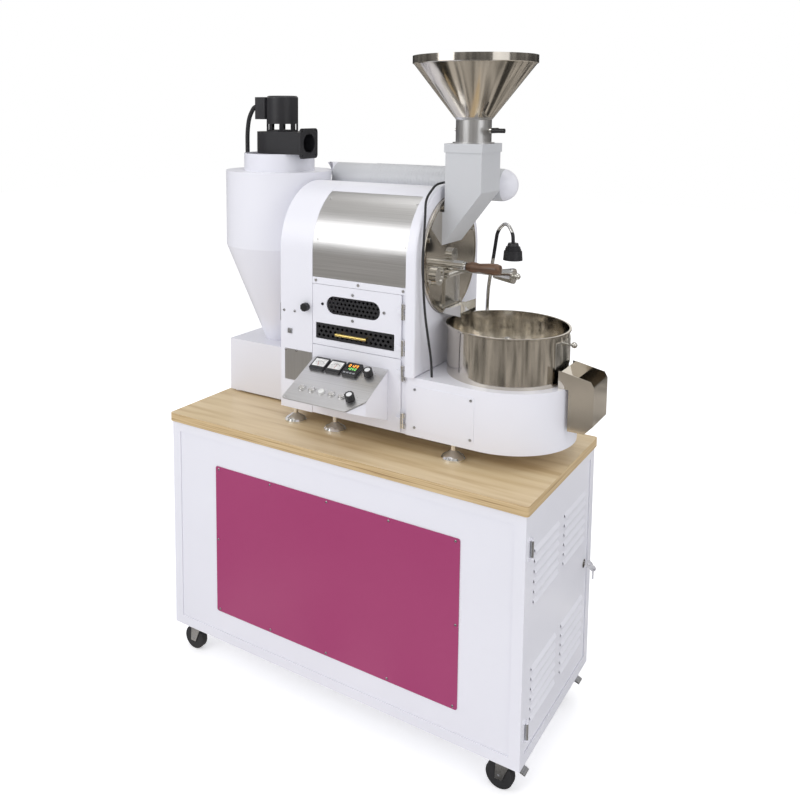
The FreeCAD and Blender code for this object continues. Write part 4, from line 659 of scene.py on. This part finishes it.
def piece(name, build, look, body, smooth=True):
    mesh = bpy.data.meshes.new(name)
    bm = bmesh.new()
    build(bm)
    bmesh.ops.remove_doubles(bm, verts=bm.verts, dist=0.000001)
    bmesh.ops.recalc_face_normals(bm, faces=bm.faces)
    if smooth:
        for face in bm.faces:
            face.smooth = True
        for edge in bm.edges:
            if len(edge.link_faces) == 2 and edge.calc_face_angle(0) > CRISP:
                edge.smooth = False
    bm.to_mesh(mesh)
    bm.free()
    thing = bpy.data.objects.new(name, mesh)
    bpy.context.collection.objects.link(thing)
    mesh.materials.append(look)
    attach(thing, body)
    MADE.append(name)


def basis(along, up=Vector((0, 0, 1))):
    """A turn whose z lies on along and whose y is as near to up as it can be."""
    z = Vector(along).normalized()
    x = up.cross(z)
    if x.length < 0.001:
        x = Vector((1, 0, 0))
    x.normalize()
    return Matrix((x, z.cross(x), z)).transposed().to_4x4()


def add_box(bm, place, size, turn=None):
    where = Matrix.Translation(place) @ (turn or Matrix.Identity(4)) @ Matrix.Diagonal((*size, 1))
    bmesh.ops.create_cube(bm, size=1, matrix=where)


def add_rod(bm, place, along, radius, length, top=None, sides=24):
    """A rod, or a cone where top is given, that starts at place."""
    where = Matrix.Translation(Vector(place) + Vector(along).normalized() * length / 2) @ basis(along)
    far_radius = radius if top is None else top
    bmesh.ops.create_cone(bm, cap_ends=True, segments=sides, radius1=radius, radius2=far_radius, depth=length,
                          matrix=where)


def add_turned(bm, place, along, profile, sides=32):
    """A turned form: profile holds pairs of radius and height, from the bottom up, spun right round."""
    where = Matrix.Translation(place) @ basis(along)
    points = [(0, profile[0][1])] + list(profile) + [(0, profile[-1][1])]
    verts = [bm.verts.new(where @ Vector((radius, 0, height))) for radius, height in points]
    edges = [bm.edges.new(pair) for pair in zip(verts, verts[1:])]
    bmesh.ops.spin(bm, geom=verts + edges, cent=where.translation, axis=Vector(along).normalized(),
                   steps=sides, angle=2 * math.pi, use_merge=True)


# %% [markdown]
# ## The console's meters
# Two needle meters sit in the sloping plate. Their faces could be pictures, but thin plates
# laid on the bezel keep their edges sharp from near by. The scales are plain ticks.

# %% Meters
CONSOLE_LEFT, CONSOLE_FRONT, CONSOLE_TOP = 431.0, 135.0, 984.0
CONSOLE_LEN = 180.7
DOWN_SLOPE = Vector((0, -0.9020, -0.4317))
OFF_PLATE = Vector((0, -0.4317, 0.9020))
PLATE_TURN = Matrix((Vector((1, 0, 0)), -DOWN_SLOPE, OFF_PLATE)).transposed().to_4x4()
METER_V, METER_TOP, TIMER_TOP = 33.0, 8.5, 10.5

WHITE_CARD = material("meter_card", moulded((0.80, 0.80, 0.78), 0.4, 60.0, 0.02))
INK = material("ink", moulded((0.03, 0.03, 0.03), 0.5))
RED_INK = material("red_needle", moulded((0.55, 0.05, 0.03), 0.45))
CAP_WHITE = material("knob_cap", moulded((0.82, 0.82, 0.82), 0.35))
SCREW = material("small_screws", moulded((0.50, 0.50, 0.52), 0.28, 300.0, 0.15, 1.0))
# Painted shade: the screw slots are dark plates laid on the heads, standing in for the shade inside the
# recesses.
SLOT_SHADE = material("painted_slot_shade", moulded((0.05, 0.05, 0.055), 0.6))
GREY_KEYS = material("timer_keys", moulded((0.32, 0.33, 0.35), 0.5))


def on_plate(u, v, lift):
    return at(CONSOLE_LEFT + u, CONSOLE_FRONT, CONSOLE_TOP) + (DOWN_SLOPE * v + OFF_PLATE * lift) * MM


def lit(name, colour, strength):
    """A lit display bar: a faint pattern in the glow keeps it from being one flat colour."""
    return material(name, moulded(colour, 0.3, 700.0, 0.0), (), strength)


def plate_box(bm, u, v, lift, width, length, thick, turn=0.0):
    spin = Matrix.Rotation(turn, 4, "Z")
    add_box(bm, on_plate(u, v, lift + thick / 2), (width * MM, length * MM, thick * MM), PLATE_TURN @ spin)


def meter_card(bm, u):
    plate_box(bm, u, METER_V - 3, METER_TOP, 40, 30, 0.4)


def meter_scale(bm, u):
    middle_v, reach = METER_V + 10, 20.0
    for i in range(13):
        turn = math.radians(-48 + 8 * i)
        length = 4.0 if i % 3 == 0 else 2.4
        out = reach - length / 2
        plate_box(bm, u + out * math.sin(turn), middle_v - out * math.cos(turn), METER_TOP + 0.4,
                  0.7, length, 0.15, -turn)
    plate_box(bm, u, METER_V + 16, METER_TOP, 42, 7, 0.5)


def meter_needle(bm, u, angle):
    turn = math.radians(angle)
    plate_box(bm, u + 8 * math.sin(turn), METER_V + 10 - 8 * math.cos(turn), METER_TOP + 0.6,
              0.8, 17, 0.2, -turn)


for number, (u, angle) in enumerate(((38.0, -20.0), (91.0, 8.0)), 1):
    piece("meter_card_%d" % number, lambda bm: meter_card(bm, u), WHITE_CARD, "lower_door", False)
    piece("meter_scale_%d" % number, lambda bm: meter_scale(bm, u), INK, "lower_door", False)
    piece("meter_needle_%d" % number, lambda bm: meter_needle(bm, u, angle), RED_INK, "lower_door", False)
print("pieces so far:", len(MADE))

# %% [markdown]
# ## The console's timer
# The timer has two rows of lit figures over four keys. A font could draw the figures, but such
# a display is built from seven bars a figure, and only the bars that are lit are made.

# %% Timer
TIMER_U = 145.0


def digit(bm, u, v, height, segments):
    """One seven-segment figure, named by the segments that are lit."""
    half, thick = height / 4, height * 0.13
    bars = {"a": (0, -half * 2, 1), "g": (0, 0, 1), "d": (0, half * 2, 1),
            "f": (-half, -half, 0), "b": (half, -half, 0), "e": (-half, half, 0), "c": (half, half, 0)}
    for segment in segments:
        du, dv, flat = bars[segment]
        size = (half * 1.7, thick) if flat else (thick, half * 1.7)
        plate_box(bm, u + du, v + dv, TIMER_TOP + 0.3, *size, 0.15)


def timer_figures(bm, v, height, figures):
    for i, segments in enumerate(figures):
        digit(bm, TIMER_U - 11 + 7.5 * i, v, height, segments)


def timer_keys(bm):
    for i in range(4):
        plate_box(bm, TIMER_U - 15 + 10 * i, METER_V + 17, TIMER_TOP, 7, 5, 0.8)


WINDOW_LOOK = material("timer_window", moulded((0.012, 0.011, 0.012), 0.12, 14.0, 0.02, 0.0, 1.0))
piece("timer_window", lambda bm: plate_box(bm, TIMER_U, METER_V - 5, TIMER_TOP, 38, 25, 0.25),
      WINDOW_LOOK, "lower_door", False)
piece("timer_upper_row", lambda bm: timer_figures(bm, METER_V - 11, 9.0, ("abcdef", "bc", "abged", "abgcd")),
      lit("amber_figures", (1.0, 0.36, 0.05), 2.4), "lower_door", False)
piece("timer_lower_row", lambda bm: timer_figures(bm, METER_V + 1, 7.0, ("bc", "abcdef", "afgcd", "abcdef")),
      lit("green_figures", (0.25, 0.9, 0.2), 1.6), "lower_door", False)
piece("timer_keys", timer_keys, GREY_KEYS, "lower_door", False)
print("pieces so far:", len(MADE))

# %% [markdown]
# ## The console's knobs
# Each ribbed knob has a white cap and pointer over a ring of ticks. All three could share one
# mesh, but the cap and pointer turn with the knob while the ticks stay on the plate.

# %% Knobs
KNOB_TOP, POINTER_LIFT, TICK_LIFT = 19.4, 19.5, 1.45


def knob_cap(bm, u, v):
    profile = ((8.0 * MM, 0), (8.0 * MM, 0.5 * MM), (7.4 * MM, 0.9 * MM))
    add_turned(bm, on_plate(u, v, KNOB_TOP), OFF_PLATE, profile)


def knob_pointer(bm, u, v, angle):
    turn = math.radians(angle)
    plate_box(bm, u + 10 * math.sin(turn), v - 10 * math.cos(turn), POINTER_LIFT, 1.6, 5.0, 0.3, -turn)


def knob_ticks(bm, u, v):
    for i in range(11):
        turn = math.radians(-135 + 27 * i)
        plate_box(bm, u + 18.5 * math.sin(turn), v - 18.5 * math.cos(turn), TICK_LIFT,
                  0.8, 2.6, 0.15, -turn)


for knob, (u, v), angle in (("fan_knob", (197.0, 34.0), -30), ("heat_knob", (196.0, CONSOLE_LEN - 46), 20)):
    piece(knob + "_cap", lambda bm: knob_cap(bm, u, v), CAP_WHITE, knob)
    piece(knob + "_pointer", lambda bm: knob_pointer(bm, u, v, angle), CAP_WHITE, knob, False)
    piece(knob + "_ticks", lambda bm: knob_ticks(bm, u, v), INK, "lower_door", False)
print("pieces so far:", len(MADE))

# %% [markdown]
# ## Screws
# Pan-head screws hold the drive housing's front and the pink plate. Each could be an object of its own, but a
# set on one sheet never moves apart, so it is one mesh, with dark plates of painted shade for the slot
# recesses in another.

# %% Screws


def pan_screw(bm, place, out, radius):
    lift = radius * 0.55
    profile = ((radius, 0), (radius * 0.96, lift * 0.45), (radius * 0.7, lift * 0.85), (radius * 0.25, lift))
    add_turned(bm, place, out, [(r * MM, h * MM) for r, h in profile], 20)


# Painted shade: a dark cross laid across the top of the head, not a recess cut into it.
def paint_slot_shade(bm, place, out, radius):
    lift = radius * 0.55
    size = (radius * MM, radius * 0.22 * MM, radius * 0.12 * MM)
    for turn in (0, math.pi / 2):
        spin = basis(out) @ Matrix.Rotation(turn + 0.4, 4, "Z")
        add_box(bm, Vector(place) + Vector(out) * lift * MM, size, spin)


def screw_set(name, places, out, radius, body):
    def heads(bm):
        for spot in places:
            pan_screw(bm, at(*spot), out, radius)

    def slots(bm):
        for spot in places:
            paint_slot_shade(bm, at(*spot), out, radius)
    piece(name, heads, SCREW, body)
    # The second mesh of each set is painted shade for the screw slots.
    piece(name + "_slots", slots, SLOT_SHADE, body, False)


FRONT = Vector((0, -1, 0))
RIGHT = Vector((1, 0, 0))
DRIVE_SCREWS = [(321, 135, 1104.6), (359, 135, 1105.4), (327, 135, 988), (365, 135, 989)]
screw_set("drive_screws", DRIVE_SCREWS, FRONT, 4.2, "roaster")
plate_rim = [(x, 1.2, z) for z in (199.5, 633) for x in (180, 368, 560, 752, 941)]
plate_rim += [(x, 1.2, 416) for x in (176, 945)]
screw_set("plate_screws", plate_rim, FRONT, 3.4, "roaster")
print("screws:", len(DRIVE_SCREWS) + len(plate_rim))

# %% [markdown]
# ## Plate, stud, grommet and key
# The drive housing has a bare steel plate, a square stud and a black cable grommet; the door's
# lock has a second key on a ring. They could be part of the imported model, but they carry no
# load and take no part in any motion of their own, so they only dress it.

# %% Plate, stud, grommet and key


def square_stud(bm):
    add_box(bm, at(342.6, 133.2, 1045.7), (14 * MM, 3.6 * MM, 14 * MM))
    add_rod(bm, at(342.6, 131.4, 1045.7), FRONT, 3.6 * MM, 2.0 * MM)


piece("square_stud", square_stud, material("square_stud", ZINC), "roaster")
piece("bare_plate", lambda bm: add_box(bm, at(372, 134.6, 946), (96 * MM, 0.8 * MM, 92 * MM)),
      material("bare_plate", STEEL_Z), "roaster", False)


def grommet(bm):
    for z in (1073, 1117):
        add_rod(bm, at(309, 160, z), -RIGHT, 15 * MM, 9 * MM)
    add_box(bm, at(304.5, 160, 1095), (9 * MM, 30 * MM, 44 * MM))


piece("cable_grommet", grommet, material("cable_grommet", RUBBER), "roaster")


def second_key(bm):
    bow = ((8.5 * MM, 0), (8.5 * MM, 1.6 * MM))
    add_turned(bm, at(1143, 467.5, 413), RIGHT.cross(Vector((0, 0, 1))), bow, 24)
    add_box(bm, at(1143, 468.3, 394), (4.5 * MM, 1.6 * MM, 26 * MM))


def key_ring(bm):
    # A small wire circle, spun round the ring's middle.
    middle = at(1143.2, 462, 418.5)
    wire = Matrix.Translation(middle + Vector((8.5 * MM, 0, 0)))
    made = bmesh.ops.create_circle(bm, cap_ends=False, segments=10, radius=0.7 * MM, matrix=wire)
    rim = list({edge for vert in made["verts"] for edge in vert.link_edges})
    bmesh.ops.spin(bm, geom=made["verts"] + rim, cent=middle, axis=(0, 1, 0), steps=32, angle=2 * math.pi,
                   use_merge=True)


piece("second_key", second_key, material("second_key", CHROME), "door_lock")
piece("key_ring", key_ring, material("key_ring", ZINC), "door_lock")
print("pieces in all:", len(MADE))
